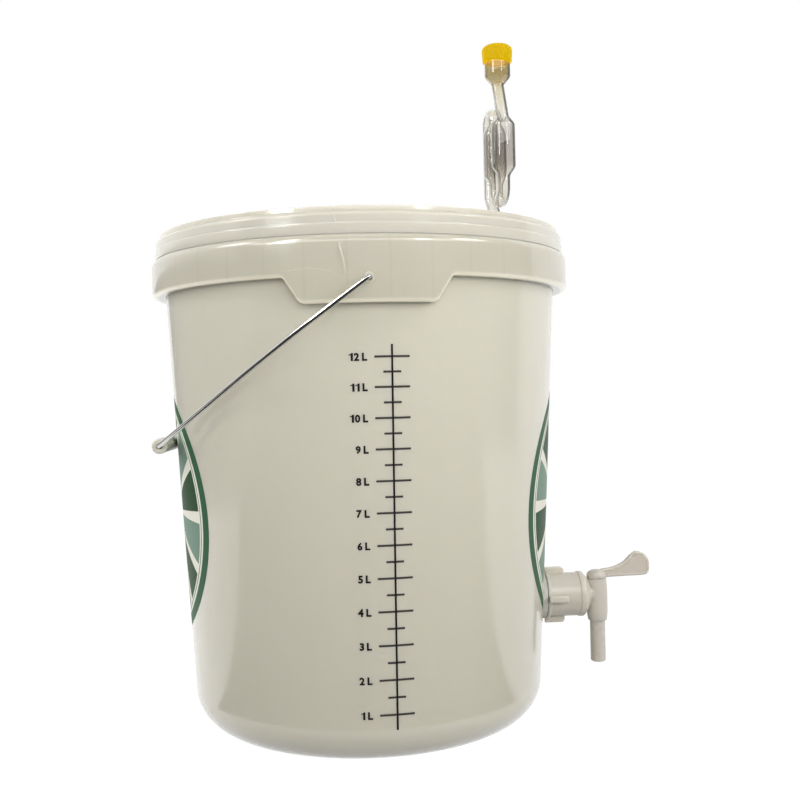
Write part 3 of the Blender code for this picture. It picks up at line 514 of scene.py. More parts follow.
class Nodes:
    """A node tree in the making."""

    def __init__(self, tree):
        self.tree = tree

    def add(self, kind, settings=None, values=None):
        """Add a node: first its settings, then the values or links of its sockets."""
        made = self.tree.nodes.new(kind)
        for setting, value in (settings or {}).items():
            if setting == "stops":
                self.set_stops(made.color_ramp, value)
            else:
                setattr(made, setting, value)
        for socket, value in (values or {}).items():
            self.feed(made.inputs[socket], value)
        return made

    def set_stops(self, ramp, stops):
        """Give a colour ramp its stops, as (place, colour)."""
        while len(ramp.elements) < len(stops):
            ramp.elements.new(1.0)
        for element, (place, colour) in zip(ramp.elements, stops):
            element.position = place
            element.color = colour

    def feed(self, socket, value):
        """Link a socket to another one, or set its value."""
        if isinstance(value, Level):
            value = value.socket
        if isinstance(value, bpy.types.NodeSocket):
            self.tree.links.new(value, socket)
        else:
            socket.default_value = value


class Finish(Nodes):
    """A procedural material round one Principled shader, patterned on object coordinates."""

    def __init__(self, name, **constants):
        self.material = bpy.data.materials.new(name)
        self.material.use_nodes = True
        super().__init__(self.material.node_tree)
        self.shader = self.tree.nodes["Principled BSDF"]
        for socket, value in constants.items():
            self.shader.inputs[socket.replace("_", " ")].default_value = value
        self.coordinates = self.add("ShaderNodeTexCoord")
        self.place = self.coordinates.outputs["Object"]

    def level(self, value):
        """Wrap a socket so that it takes arithmetic."""
        return Level(self, value)

    def noise(self, scale, detail, stretch=(1, 1, 1)):
        """Smooth noise from 0 to 1, that many lumps to the metre."""
        place = self.add("ShaderNodeMapping", {}, {"Vector": self.place, "Scale": stretch}).outputs["Vector"]
        made = self.add("ShaderNodeTexNoise", {}, {"Vector": place, "Scale": scale, "Detail": detail})
        return self.level(made.outputs["Fac"])

    def upward(self, vector):
        """The height part of a vector."""
        return self.level(self.add("ShaderNodeSeparateXYZ", {}, {"Vector": vector}).outputs["Z"])

    def blend(self, factor, first, second):
        """A colour between two colours."""
        made = self.add("ShaderNodeMix", {"data_type": "RGBA"}, {"Factor": factor, 6: first, 7: second})
        return made.outputs[2]

    def ramp(self, factor, stops):
        """A colour from a ramp."""
        made = self.add("ShaderNodeValToRGB", {"stops": stops}, {"Fac": factor})
        return made.outputs["Color"]

    def span(self, value, low, high, bottom=0.0, top=1.0):
        """A value moved from one range to another, smooth at both ends."""
        made = self.add("ShaderNodeMapRange", {"interpolation_type": "SMOOTHSTEP"},
                        {"Value": value, "From Min": low, "From Max": high, "To Min": bottom, "To Max": top})
        return self.level(made.outputs["Result"])

    def wear(self, **links):
        """Feed what changes over the surface to the shader."""
        for socket, value in links.items():
            self.feed(self.shader.inputs[socket.replace("_", " ")], value)

    def relief(self, height, distance, strength=1.0):
        """A bump from a height that varies over the surface."""
        made = self.add("ShaderNodeBump", {}, {"Height": height, "Distance": distance, "Strength": strength})
        self.wear(Normal=made.outputs["Normal"])


# Finishes

def collar_painted_shade(finish):
    """How far the collar gets painted shade, most at its ribs, and how far a spot is on its lower edge,
    which gets a painted glow.
    """
    flat = finish.add("ShaderNodeMapping", {}, {"Vector": finish.place, "Location": (-AXIS_X, 0, 0),
                                                "Scale": (1, 1, 0)}).outputs["Vector"]
    length = finish.add("ShaderNodeVectorMath", {"operation": "LENGTH"}, {0: flat})
    gradient = finish.add("ShaderNodeTexGradient", {"gradient_type": "RADIAL"}, {"Vector": flat})
    on_collar = finish.span(length.outputs["Value"], COLLAR_RADIUS - COLLAR_ROUND, COLLAR_RADIUS - WALL)
    beside = (finish.level(gradient.outputs["Fac"]) * RIB_COUNT).folded()
    facing = finish.upward(finish.coordinates.outputs["Normal"])
    # The downward-facing lower edge of the collar gets a painted glow
    edge = on_collar * finish.span(facing, -EDGE_FACING, 0.0, 1.0, 0.0)
    return on_collar * (finish.span(beside, 0.0, RIB_BLUR, RIB_PAINTED_SHADE, 0.0) + 1), edge


def moulded(name, colour, roughness=0.3, mottle=0.05, depth=0.006, painted_shade_share=0.0, **constants):
    """Moulded plastic that light enters: faint clouding, flow streaks up the wall and slight ripples.

    The bucket's has painted shade on its collar, most at the ribs, and towards its foot, and a painted glow
    at the collar's lower edge.
    """
    finish = Finish(name, Subsurface_Weight=SUBSURFACE_WEIGHT, Subsurface_Scale=depth,
                    Subsurface_Radius=SUBSURFACE_RADIUS, **constants)
    clouds = finish.noise(*CLOUDS)
    streaks = finish.noise(*STREAKS)
    shade = clouds.swing() * mottle + streaks.swing() * (mottle * STREAKS_SHARE) + MIDDLE
    # Painted shade on the collar and towards the foot, and a painted glow on the collar's lower edge
    if painted_shade_share:
        on_collar, edge = collar_painted_shade(finish)
        painted_foot_shade = finish.span(finish.upward(finish.place), 0.0, LEDGE_HEIGHT, FOOT_PAINTED_SHADE, 0.0)
        shade = shade - on_collar * painted_shade_share - painted_foot_shade
        finish.wear(Emission_Color=finish.blend(edge, BLACK, colour))
    scuffs = finish.noise(*SCUFFS)
    finish.wear(Base_Color=finish.blend(shade, scaled(colour, MOULDED_DARK), scaled(colour, MOULDED_LIGHT)),
                Roughness=roughness + scuffs.swing() * MOULDED_SPREAD + clouds.swing() * MOULDED_SPREAD)
    finish.relief(finish.noise(*RIPPLES) * RIPPLES_SHARE + clouds, MOULDED_RELIEF)
    return finish.material


def cap_plastic(name, colour, glow, strength):
    """The cap's thin yellow plastic, with a painted glow for some of the light that falls on it."""
    return moulded(name, colour, CAP_ROUGHNESS, CAP_MOTTLE, CAP_DEPTH, Specular_IOR_Level=CAP_SPECULAR,
                   Emission_Color=glow, Emission_Strength=strength)


def printed(name, colour):
    """Screen-printed ink: nearly even, with slightly thin spots."""
    finish = Finish(name, Specular_IOR_Level=INK_SPECULAR)
    thin = finish.span(finish.noise(*INK_SPOTS), *INK_THIN)
    finish.wear(Base_Color=finish.blend(thin * INK_THIN_SHARE, colour, scaled(colour, *INK_PALE)),
                Roughness=INK_ROUGHNESS + finish.noise(*INK_GLOSS).swing() * INK_SPREAD)
    finish.relief(finish.noise(*INK_GRAIN), INK_RELIEF)
    return finish.material


def rubber(name, colour):
    """Matt rubber with a fine grain."""
    finish = Finish(name, Specular_IOR_Level=RUBBER_SPECULAR)
    dust = finish.noise(*DUST)
    finish.wear(Base_Color=finish.blend(dust * DUST_SHARE, colour, scaled(colour, *RUBBER_PALE)),
                Roughness=dust * DUST_SPREAD + RUBBER_ROUGHNESS)
    finish.relief(finish.noise(*RUBBER_GRAIN), RUBBER_RELIEF)
    return finish.material


def plated_steel():
    """Bright zinc plating on drawn wire: fine scratches and duller patches."""
    finish = Finish("plated_steel", Metallic=1.0)
    patches = finish.noise(*PLATING_PATCHES)
    scratches = finish.noise(*WIRE_SCRATCHES)
    finish.wear(Base_Color=finish.blend(patches, linear(196, 194, 190), linear(232, 230, 226)),
                Roughness=patches * PATCHES_SPREAD + scratches * SCRATCHES_SPREAD + WIRE_ROUGHNESS)
    finish.relief(scratches, WIRE_RELIEF)
    return finish.material


def clear_plastic():
    """Clear blown plastic with slight ripples and a faint tint that changes up the tube, with painted shade
    at the bulbs and the cap's colour painted into the funnel.
    """
    finish = Finish("clear_plastic", IOR=CLEAR_IOR, Transmission_Weight=1.0)
    ripples = finish.noise(*BLOWN_RIPPLES)
    share = (finish.upward(finish.place) - PANEL_TOP) * (1 / (FUNNEL_TOP - PANEL_TOP))
    finish.wear(Base_Color=finish.ramp(share, TUBE_TINTS_AND_PAINTED_SHADE), Roughness=ripples * CLEAR_ROUGHNESS)
    finish.relief(ripples, CLEAR_RELIEF, CLEAR_STRENGTH)
    return finish.material


# Tints of the clear plastic, by their share of the height from the lid's panel to the funnel's rim. The
# darker band at the bulbs is painted shade, and the yellowish band in the funnel is the cap's colour painted
# in as if seen through it
TUBE_TINTS_AND_PAINTED_SHADE = [
    (0.00, linear(242, 240, 234)), (0.34, linear(240, 238, 232)), (0.42, linear(216, 213, 208)),
    (0.56, linear(216, 213, 208)), (0.66, linear(244, 242, 236)), (0.80, linear(240, 235, 220)),
    (0.86, linear(204, 194, 164)), (0.915, linear(206, 196, 160)), (0.935, linear(250, 248, 236)),
    (1.00, linear(250, 248, 236)),
]

FINISHES = {
    # The bucket's finish has painted shade on its collar and towards its foot, and a painted glow on the
    # collar's lower edge
    "bucket": moulded("bucket_plastic", linear(213, 208, 190), 0.22, painted_shade_share=0.42, Coat_Weight=0.6,
                      Coat_Roughness=0.06, Emission_Strength=EDGE_PAINTED_GLOW),
    "lid": moulded("lid_plastic", linear(212, 206, 190), 0.20, Coat_Weight=0.7, Coat_Roughness=0.06),
    "gasket": rubber("gasket_rubber", linear(214, 211, 200)),
    "grommet": rubber("grommet_rubber", linear(46, 46, 46)),
    "glass": clear_plastic(),
    # Both cap finishes glow a little as painted light, the inner side most
    "cap": cap_plastic("cap_plastic", linear(200, 166, 0), linear(250, 210, 0), 0.09),
    "cap_glowing_inside": cap_plastic("cap_inside_plastic", linear(196, 160, 0), linear(250, 206, 0), 0.75),
    "wire": plated_steel(),
    "grip": moulded("grip_plastic", linear(216, 214, 202), 0.34, 0.02, depth=0.002),
    "tap": moulded("tap_plastic", linear(206, 200, 188), 0.32, 0.05),
    "plug": moulded("plug_plastic", linear(203, 196, 186), 0.28, 0.05),
    "washer": rubber("washer_rubber", linear(190, 188, 180)),
    "black_ink": printed("black_ink", linear(32, 30, 32)),
    "grey_ink": printed("grey_ink", linear(66, 63, 60)),
    "green_ink": printed("green_ink", linear(44, 88, 60)),
    "dark_green_ink": printed("dark_green_ink", linear(28, 66, 34)),
    "sage_ink": printed("sage_ink", linear(112, 138, 122)),
    "cream_ink": printed("cream_ink", linear(226, 224, 210)),
}


KEPT_NODES = {
    "lid_gasket": "gasket",
    "airlock_grommet": "grommet",
    "tap_outer_washer": "washer",
    "tap_inner_washer": "washer",
    "tap_backnut": "tap",
}


# Shaping

def new_piece(name, mesh):
    """Put a mesh into the scene as an object at the origin."""
    piece = bpy.data.objects.new(name, mesh)
    bpy.context.scene.collection.objects.link(piece)
    return piece


def cleaned(bm, mesh):
    """Merge doubles, turn the faces outwards and hand the outcome to a mesh."""
    bmesh.ops.remove_doubles(bm, verts=bm.verts, dist=DOUBLES)
    bmesh.ops.recalc_face_normals(bm, faces=bm.faces)
    bm.to_mesh(mesh)
    bm.free()
    return mesh


def filled(name, fill):
    """A mesh that a function fills through bmesh."""
    bm = bmesh.new()
    fill(bm)
    return cleaned(bm, bpy.data.meshes.new(name))


def skin(bm, first, second, closed=True):
    """Faces between two rows of corners, joined at the ends if closed. A row of one corner is a pole."""
    count = max(len(first), len(second))
    for index in range(count if closed else count - 1):
        corners = [first[index % len(first)], first[(index + 1) % len(first)],
                   second[(index + 1) % len(second)], second[index % len(second)]]
        bm.faces.new(list(dict.fromkeys(corners)))


def applied(piece):
    """Make a piece's evaluated shape its own mesh, without modifiers."""
    bpy.context.view_layer.update()
    mesh = bpy.data.meshes.new_from_object(piece.evaluated_get(bpy.context.evaluated_depsgraph_get()))
    piece.modifiers.clear()
    piece.data = mesh
    mesh.name = piece.name
    return piece


def merged(piece, operation, *others):
    """Join, cut or intersect a piece with others, which are used up."""
    for other in others:
        modifier = piece.modifiers.new(operation, "BOOLEAN")
        modifier.operation = operation
        modifier.solver = "MANIFOLD"
        modifier.object = other
        applied(piece)
        bpy.data.objects.remove(other, do_unlink=True)
    return piece


def dressed(piece, body, slot, *finishes, stands_for=(), smooth=True):
    """Give a finished piece its materials and its body, and hide the nodes that it stands for. The slot is
    not used.
    """
    piece.data.materials.clear()
    for finish in finishes:
        piece.data.materials.append(FINISHES[finish])
    if smooth:
        piece.data.shade_smooth()
        piece.data.set_sharp_from_angle(angle=EDGE_ANGLE)
    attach(piece, body)
    if stands_for:
        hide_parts(*stands_for)
    return piece


def arc(centre_radius, centre_height, radius, start, end, steps=BEND_STEPS):
    """Points on an arc of a section, by angles from +radius towards +height."""
    places = [polar(radius, angle) for angle in spread(start, end, steps)]
    return [(centre_radius + across, centre_height + up) for across, up in places]


def softened(points, radius, closed=False):
    """Round every corner of a run of 2D points, by less where its sides are short."""
    run = [Vector(point) for point in points]
    count = len(run)
    soft = [] if closed else [run[0]]
    for index in range(count) if closed else range(1, count - 1):
        before, corner, after = run[index - 1], run[index], run[(index + 1) % count]
        back = before - corner
        ahead = after - corner
        reach = min(radius, back.length * SOFT_SHARE, ahead.length * SOFT_SHARE)
        first = corner + back.normalized() * reach
        last = corner + ahead.normalized() * reach
        for share in spread(0, 1, SOFT_STEPS):
            soft.append(first * (1 - share) ** 2 + corner * (2 * share * (1 - share)) + last * share ** 2)
    if not closed:
        soft.append(run[-1])
    return [tuple(point) for point in soft]


def rounded(points, radius):
    """Round the inner corners of an open run of 2D points with true arcs."""
    run = [Vector(points[0])]
    for before, corner, after in zip(points, points[1:], points[2:]):
        corner = Vector(corner)
        back = (Vector(before) - corner).normalized()
        ahead = (Vector(after) - corner).normalized()
        half = back.angle(ahead) / 2
        reach = radius / math.tan(half)
        centre = corner + (back + ahead).normalized() * radius / math.sin(half)
        first = corner + back * reach - centre
        last = corner + ahead * reach - centre
        sweep = first.angle_signed(last)
        for turn in spread(0, -sweep, BEND_STEPS):
            run.append(centre + Matrix.Rotation(turn, 2) @ first)
    run.append(Vector(points[-1]))
    return run


def rings_mesh(name, rings, closed, place=Matrix.Identity(4)):
    """A skin over rings of points. A ring of one point is a pole."""
    def fill(bm):
        made = [[bm.verts.new(place @ Vector(point)) for point in ring] for ring in rings]
        for first, second in zip(made, made[1:]):
            skin(bm, first, second)
        if closed:
            skin(bm, made[-1], made[0])
    return filled(name, fill)


def turned(name, section, place=AXIS, steps=ROUND_STEPS, closed=False):
    """Turn a section of (radius, height) points about an axis."""
    turns = spread(0, FULL_TURN, steps)[:-1]
    rings = []
    for radius, height in section:
        if radius < MERGE:
            rings.append([(0, 0, height)])
        else:
            rings.append([(*polar(radius, turn), height) for turn in turns])
    return new_piece(name, rings_mesh(name, rings, closed, place))


def rod(name, radius, bottom, top, place, steps=HOLE_STEPS):
    """A solid cylinder between two heights on an axis."""
    return turned(name, [(0, top), (radius, top), (radius, bottom), (0, bottom)], place, steps)


def inset(outline, distance):
    """A closed outline moved inwards. It runs anticlockwise."""
    moved = []
    for index, corner in enumerate(outline):
        here = Vector(corner)
        back = (here - Vector(outline[index - 1])).normalized()
        ahead = (Vector(outline[(index + 1) % len(outline)]) - here).normalized()
        inward = Vector((-back.y - ahead.y, back.x + ahead.x)).normalized()
        lean = max(inward.dot(Vector((-back.y, back.x))), INSET_LIMIT)
        moved.append(tuple(here + inward * distance / lean))
    return moved


def slab(name, outline, levels, place):
    """A plate from an outline in X and Y. Levels are (inset, half thickness), from the rim inwards."""
    def fill(bm):
        layers = [(distance, -half) for distance, half in reversed(levels)] + levels
        made = []
        for distance, height in layers:
            made.append([bm.verts.new(place @ Vector((x, y, height))) for x, y in inset(outline, distance)])
        for first, second in zip(made, made[1:]):
            skin(bm, first, second)
        for ring in (made[0], made[-1]):
            bm.faces.new(ring)
    return new_piece(name, filled(name, fill))


def rolled(rim, reach):
    """Levels of a slab whose edge is rolled by a reach, up to half its thickness."""
    part = reach * ROLL_SHARE
    return [(0, rim - reach), (part, rim - part), (reach, rim)]


def flowing(outline):
    """A smooth closed outline through the given points."""
    smooth = []
    count = len(outline)
    for index in range(count):
        before, here, after, beyond = [Vector(outline[(index + step - 1) % count]) for step in range(4)]
        pull = after - before
        bend = 2 * before - 5 * here + 4 * after - beyond
        twist = 3 * here - before - 3 * after + beyond
        for share in spread(0, 1, FLOW_STEPS)[:-1]:
            place = 2 * here + pull * share + bend * share ** 2 + twist * share ** 3
            smooth.append(tuple(place / 2))
    return smooth


# Geometry Nodes recipes

class Recipe(Nodes):
    """A Geometry Nodes tree with named inputs."""

    KINDS = {"whole": "NodeSocketInt", "length": "NodeSocketFloat", "finish": "NodeSocketMaterial"}

    def __init__(self, name, **inputs):
        super().__init__(bpy.data.node_groups.new(name, "GeometryNodeTree"))
        face = self.tree.interface
        face.new_socket("Geometry", in_out="INPUT", socket_type="NodeSocketGeometry")
        for label, kind in inputs.items():
            face.new_socket(label, in_out="INPUT", socket_type=self.KINDS[kind])
        face.new_socket("Finish", in_out="INPUT", socket_type=self.KINDS["finish"])
        face.new_socket("Geometry", in_out="OUTPUT", socket_type="NodeSocketGeometry")
        self.given = self.add("NodeGroupInput").outputs

    def attribute(self, name):
        """A number kept on the points of the mesh that the tree is given."""
        return self.add("GeometryNodeInputNamedAttribute", {"data_type": "FLOAT"}, {"Name": name}).outputs[0]

    def vector(self, **parts):
        """Numbers joined to one vector."""
        return self.add("ShaderNodeCombineXYZ", {}, parts).outputs[0]

    def ring(self, radius):
        """The spots of a ring, the place of each, and the turn that faces out there."""
        spots = self.add("GeometryNodeMeshCircle", {}, {"Vertices": self.given["Count"], "Radius": radius})
        place = self.add("GeometryNodeInputPosition").outputs[0]
        facing = self.add("FunctionNodeAlignRotationToVector", {"axis": "X", "pivot_axis": "Z"},
                          {"Vector": place})
        return spots.outputs[0], place, facing.outputs[0]

    def copies(self, points, piece, **values):
        """A copy of the piece on every point."""
        values = {"Points": points, "Instance": piece, **values}
        return self.add("GeometryNodeInstanceOnPoints", {}, values).outputs[0]

    def end(self, geometry):
        """Make the outcome real, give it its finish and hand it out."""
        real = self.add("GeometryNodeRealizeInstances", {}, {"Geometry": geometry}).outputs[0]
        coated = self.add("GeometryNodeSetMaterial", {},
                          {"Geometry": real, "Material": self.given["Finish"]}).outputs[0]
        self.add("NodeGroupOutput", {}, {"Geometry": coated})

    def make(self, name, mesh, finish, **values):
        """Run the tree on a mesh and return the outcome as a plain piece."""
        piece = new_piece(name, mesh)
        modifier = piece.modifiers.new(name, "NODES")
        modifier.node_group = self.tree
        values["Finish"] = FINISHES[finish]
        for item in self.tree.interface.items_tree:
            if item.in_out == "INPUT" and item.name in values:
                modifier[item.identifier] = values[item.name]
        return applied(piece)


def sweep_recipe():
    """A round section swept along a line of points, scaled by the swell kept on each point."""
    recipe = Recipe("swept_round", Radius="length", Sides="whole")
    line = recipe.add("GeometryNodeMeshToCurve", {}, {"Mesh": recipe.given["Geometry"]}).outputs[0]
    ring = recipe.add("GeometryNodeCurvePrimitiveCircle", {"mode": "RADIUS"},
                      {"Resolution": recipe.given["Sides"], "Radius": recipe.given["Radius"]}).outputs[0]
    skin = recipe.add("GeometryNodeCurveToMesh", {}, {"Curve": line, "Profile Curve": ring,
                                                      "Scale": recipe.attribute("swell"), "Fill Caps": True})
    recipe.end(skin.outputs[0])
    return recipe


def ribs_recipe():
    """Upright plates that stand round an axis, each facing out."""
    recipe = Recipe("ring_of_ribs", Count="whole", Radius="length", Depth="length", Thickness="length",
                    Height="length")
    given = recipe.given
    spots, _, facing = recipe.ring(given["Radius"])
    size = recipe.vector(X=given["Depth"], Y=given["Thickness"], Z=given["Height"])
    plate = recipe.add("GeometryNodeMeshCube", {}, {"Size": size}).outputs[0]
    recipe.end(recipe.copies(spots, plate, Rotation=facing))
    return recipe


def ticks_recipe():
    """Bars laid across the given points, as long as the reach kept on each point."""
    recipe = Recipe("scale_ticks", Width="length", Depth="length", Pieces="whole")
    given = recipe.given
    bar = recipe.add("GeometryNodeMeshCube", {}, {"Size": (1, 1, 1), "Vertices X": given["Pieces"]})
    size = recipe.vector(X=recipe.attribute("reach"), Y=given["Width"], Z=given["Depth"])
    recipe.end(recipe.copies(given["Geometry"], bar.outputs[0], Scale=size))
    return recipe


def petals_recipe():
    """Copies of the given petal set round a centre."""
    recipe = Recipe("ring_of_petals", Count="whole", Shift="length")
    given = recipe.given
    spots, place, facing = recipe.ring(1.0)
    petals = recipe.copies(spots, given["Geometry"], Rotation=facing)
    home = recipe.add("ShaderNodeVectorMath", {"operation": "MULTIPLY"}, {0: place, 1: (-1, -1, -1)})
    gathered = recipe.add("GeometryNodeSetPosition", {}, {"Geometry": petals, "Offset": home.outputs[0]})
    shifted = recipe.add("GeometryNodeTransform", {}, {"Geometry": gathered.outputs[0],
                                                       "Rotation": recipe.vector(Z=given["Shift"])})
    recipe.end(shifted.outputs[0])
    return recipe


SWEEP = sweep_recipe()
RIBS = ribs_recipe()
TICKS = ticks_recipe()
PETALS = petals_recipe()


def line_mesh(name, points, attribute, values, joined=True):
    """A mesh of points, joined into a line if asked, with one number kept on each."""
    mesh = bpy.data.meshes.new(name)
    edges = [(index, index + 1) for index in range(len(points) - 1)] if joined else []
    mesh.from_pydata([tuple(point) for point in points], edges, [])
    kept = mesh.attributes.new(attribute, "FLOAT", "POINT")
    kept.data.foreach_set("value", values)
    return mesh


def swept(name, route, radius, finish, sides=AIRLOCK_SIDES, swell=None):
    """Sweep a round section along 3D points."""
    mesh = line_mesh(name, route, "swell", swell or [1.0] * len(route))
    piece = SWEEP.make(name, mesh, finish, Radius=radius, Sides=sides)
    bm = bmesh.new()
    bm.from_mesh(piece.data)
    cleaned(bm, piece.data)
    return piece


def wrapped(piece, turn, height=0.0):
    """Lay a flat piece on the tapered wall: X runs round it, Y up it and Z out of it."""
    for vertex in piece.data.vertices:
        along, up, proud = vertex.co
        level = height + up
        radius = wall_radius(level)
        vertex.co = round_bucket(radius + proud, turn + along / radius, level)
    return piece


def inked(piece, ink, turn, height=0.0, smooth=True):
    """Print a flat piece on the wall."""
    return dressed(wrapped(piece, turn, height), "bucket", "bucket_plastic", ink, smooth=smooth)


def upright_line(name, radius, places, thickness):
    """A thin round line on an upright face, by turns from the front in degrees and heights."""
    route = [round_bucket(radius, FRONT + math.radians(turn), height) for turn, height in places]
    ends = [LINE_END_SHARE] + [1.0] * (len(route) - 2) + [LINE_END_SHARE]
    return swept(name, route, thickness, "bucket", LINE_SIDES, ends)


# Bucket

def collar_edge():
    """The collar's lower edge round both tabs, as (turn, height, slope) all the way round."""
    corners = [(0, TAB_BOTTOM), (TAB_HALF_WIDTH, TAB_BOTTOM), (TAB_HALF_WIDTH + TAB_FLARE, COLLAR_BOTTOM),
               (COLLAR_RADIUS * COLLAR_OUTLINE_SHARE, COLLAR_BOTTOM)]
    low = rounded(corners[:3], TAB_CORNER)
    high = rounded([tuple(low[-2]), corners[2], corners[3]], TAB_FILLET)
    outline = [(math.asin(across / COLLAR_RADIUS), height) for across, height in low[:-1] + high[1:-1]]
    half = []
    for index, (turn, height) in enumerate(outline):
        before = outline[max(index - 1, 0)]
        after = outline[min(index + 1, len(outline) - 1)]
        slope = (after[1] - before[1]) / (COLLAR_RADIUS * (after[0] - before[0]))
        half.append((turn, height, slope))
    tab = [(-turn, height, -slope) for turn, height, slope in reversed(half[1:])] + half
    edge = []
    for middle in (FRONT, -FRONT):
        edge += [(middle + turn, height, slope) for turn, height, slope in tab]
    count = round(FULL_TURN / COLLAR_FILL_TURN)
    for index in range(count):
        turn = -HALF_TURN + FULL_TURN * (index + 0.5) / count
        away = abs(abs(turn) - QUARTER_TURN)
        if away > half[-1][0] + COLLAR_FILL_GAP:
            edge.append((turn, COLLAR_BOTTOM, 0.0))
        elif COLLAR_FILL_GAP < away < (TAB_HALF_WIDTH - TAB_CORNER) / COLLAR_RADIUS:
            edge.append((turn, TAB_BOTTOM, 0.0))
    return sorted(edge)


def foot_arc(offset, start, end):
    """The rounding between wall and base, moved inwards by an offset."""
    centre = BASE_RADIUS + TAPER * FOOT_ROUND - FOOT_ROUND * math.hypot(1, TAPER)
    return arc(centre, FOOT_ROUND, FOOT_ROUND - offset, start, end, FOOT_STEPS)


def bucket_section(bottom, slope):
    """Half section of the bucket where the collar's lower edge has that height and slope."""
    foot_outer = foot_arc(0, -QUARTER_TURN, -QUARTER_TURN)[0][0]
    foot_inner = foot_outer - FOOT_WIDTH
    floor_edge = foot_inner - FOOT_STEP
    lip_top = COLLAR_BOTTOM + COLLAR_LIP_HEIGHT
    ledge_under = LEDGE_HEIGHT - LEDGE_WALL
    stretch = COLLAR_LIP_ROUND * math.hypot(1, slope)
    collar_centre = (COLLAR_RADIUS - COLLAR_ROUND, LEDGE_HEIGHT - COLLAR_ROUND)
    floor = softened([(0, FLOOR_RISE + WALL), (floor_edge + WALL, FLOOR_RISE + WALL),
                      (foot_inner + WALL, WALL)], FOOT_EDGE_ROUND)
    points = floor[:-1] + foot_arc(WALL, -QUARTER_TURN, -LEAN)
    points += [(MOUTH_RADIUS, LEDGE_HEIGHT)]
    bead = [
        (MOUTH_RADIUS, LEDGE_HEIGHT + BEAD_HEIGHT),
        (MOUTH_RADIUS, BEAD_TOP),
        (BEAD_RADIUS, BEAD_TOP),
        (BEAD_RADIUS, BEAD_TOP - BEAD_HEIGHT + BEAD_PROUD / 2),
        (NECK_RADIUS, BEAD_TOP - BEAD_HEIGHT - BEAD_PROUD / 2),
        (NECK_RADIUS, LEDGE_HEIGHT),
    ]
    points += softened(bead, BEAD_ROUND)
    points += arc(*collar_centre, COLLAR_ROUND, QUARTER_TURN, 0)
    for across, up in arc(0, 0, 1, 0, -QUARTER_TURN):
        points.append((COLLAR_RADIUS - COLLAR_LIP_ROUND * (1 - across), bottom + stretch * (1 + up)))
    web_edge = wall_radius(bottom) + COLLAR_WEB_GAP
    points += [
        (web_edge, bottom + CLEARANCE),
        (web_edge, bottom + COLLAR_WEB),
        (COLLAR_RADIUS - COLLAR_LIP, bottom + COLLAR_WEB),
        (COLLAR_RADIUS - COLLAR_LIP, lip_top),
        (COLLAR_RADIUS - WALL, lip_top + COLLAR_LIP - WALL),
        (COLLAR_RADIUS - WALL, LEDGE_HEIGHT - COLLAR_ROUND),
    ]
    points += arc(*collar_centre, COLLAR_ROUND - LEDGE_WALL, 0, QUARTER_TURN, LEDGE_STEPS)[1:]
    points += [(wall_radius(ledge_under), ledge_under)]
    points += foot_arc(0, -LEAN, -QUARTER_TURN)
    points += softened([(foot_outer, 0), (foot_inner, 0), (floor_edge, FLOOR_RISE), (0, FLOOR_RISE)],
                       FOOT_EDGE_ROUND)[1:]
    return points


def make_bucket():
    """The bucket's shell with its collar, tabs, eyelets, bail holes, tap hole and tear-off mark."""
    edge = collar_edge()
    sections = [bucket_section(bottom, slope) for _, bottom, slope in edge]
    rings = []
    for row in zip(*sections):
        if row[0][0] < MERGE:
            rings.append([(0, 0, row[0][1])])
        else:
            rings.append([(*polar(radius, turn), height)
                          for (turn, _, _), (radius, height) in zip(edge, row)])
    shell = new_piece("bucket_shell", rings_mesh("bucket_shell", rings, False, AXIS))
    eyelet_radius = HOLE_RADIUS + EYELET_WALL
    eyelet_back = COLLAR_RADIUS - COLLAR_LIP / 2
    eyelet = softened([(0, EYELET_FACE), (eyelet_radius, EYELET_FACE), (eyelet_radius, eyelet_back),
                       (0, eyelet_back)], EYELET_ROUND)
    for side, direction in (("far", ALONG_Y), ("near", ALONG_MINUS_Y)):
        place = AXIS @ Matrix.Translation((0, 0, PIVOT_HEIGHT)) @ direction
        merged(shell, "UNION", turned(side + "_eyelet", eyelet, place, HOLE_STEPS))
        hole = rod(side + "_hole", HOLE_RADIUS, HOOK_PLACE, EYELET_FACE + OVERRUN, place)
        merged(shell, "DIFFERENCE", hole)
    merged(shell, "DIFFERENCE", rod("tap_hole", STUB_RADIUS + CLEARANCE, FLANGE_BACK - TAP_HOLE_REACH,
                                    FLANGE_BACK, TAP_AXIS, SMALL_STEPS))
    merged(shell, "DIFFERENCE", upright_line("groove", COLLAR_RADIUS, GROOVE_PLACES, GROOVE_RADIUS))
    merged(shell, "UNION", upright_line("tear_line", COLLAR_RADIUS - TEAR_LINE_SINK, TEAR_LINE_PLACES,
                                        TEAR_LINE_RADIUS))
    return dressed(shell, "bucket", "bucket_plastic", "bucket", stands_for=["bucket"])


def make_collar_ribs():
    """The ribs between the wall and the collar."""
    bottom = COLLAR_BOTTOM + COLLAR_LIP_HEIGHT + COLLAR_LIP - WALL + RIB_GAP
    top = LEDGE_HEIGHT - LEDGE_WALL + CLEARANCE
    sink = WALL / 3
    inner = wall_radius(bottom) - sink
    outer = COLLAR_RADIUS - WALL + sink
    ribs = RIBS.make("collar_ribs", bpy.data.meshes.new("collar_ribs"), "bucket", Count=RIB_COUNT,
                     Radius=(inner + outer) / 2, Depth=outer - inner, Thickness=RIB_THICKNESS,
                     Height=top - bottom)
    half_step = Matrix.Rotation(HALF_TURN / RIB_COUNT, 4, "Z")
    ribs.data.transform(AXIS @ Matrix.Translation((0, 0, (bottom + top) / 2)) @ half_step)
    return dressed(ribs, "bucket", "bucket_plastic", "bucket", smooth=False)


# Printing on the wall

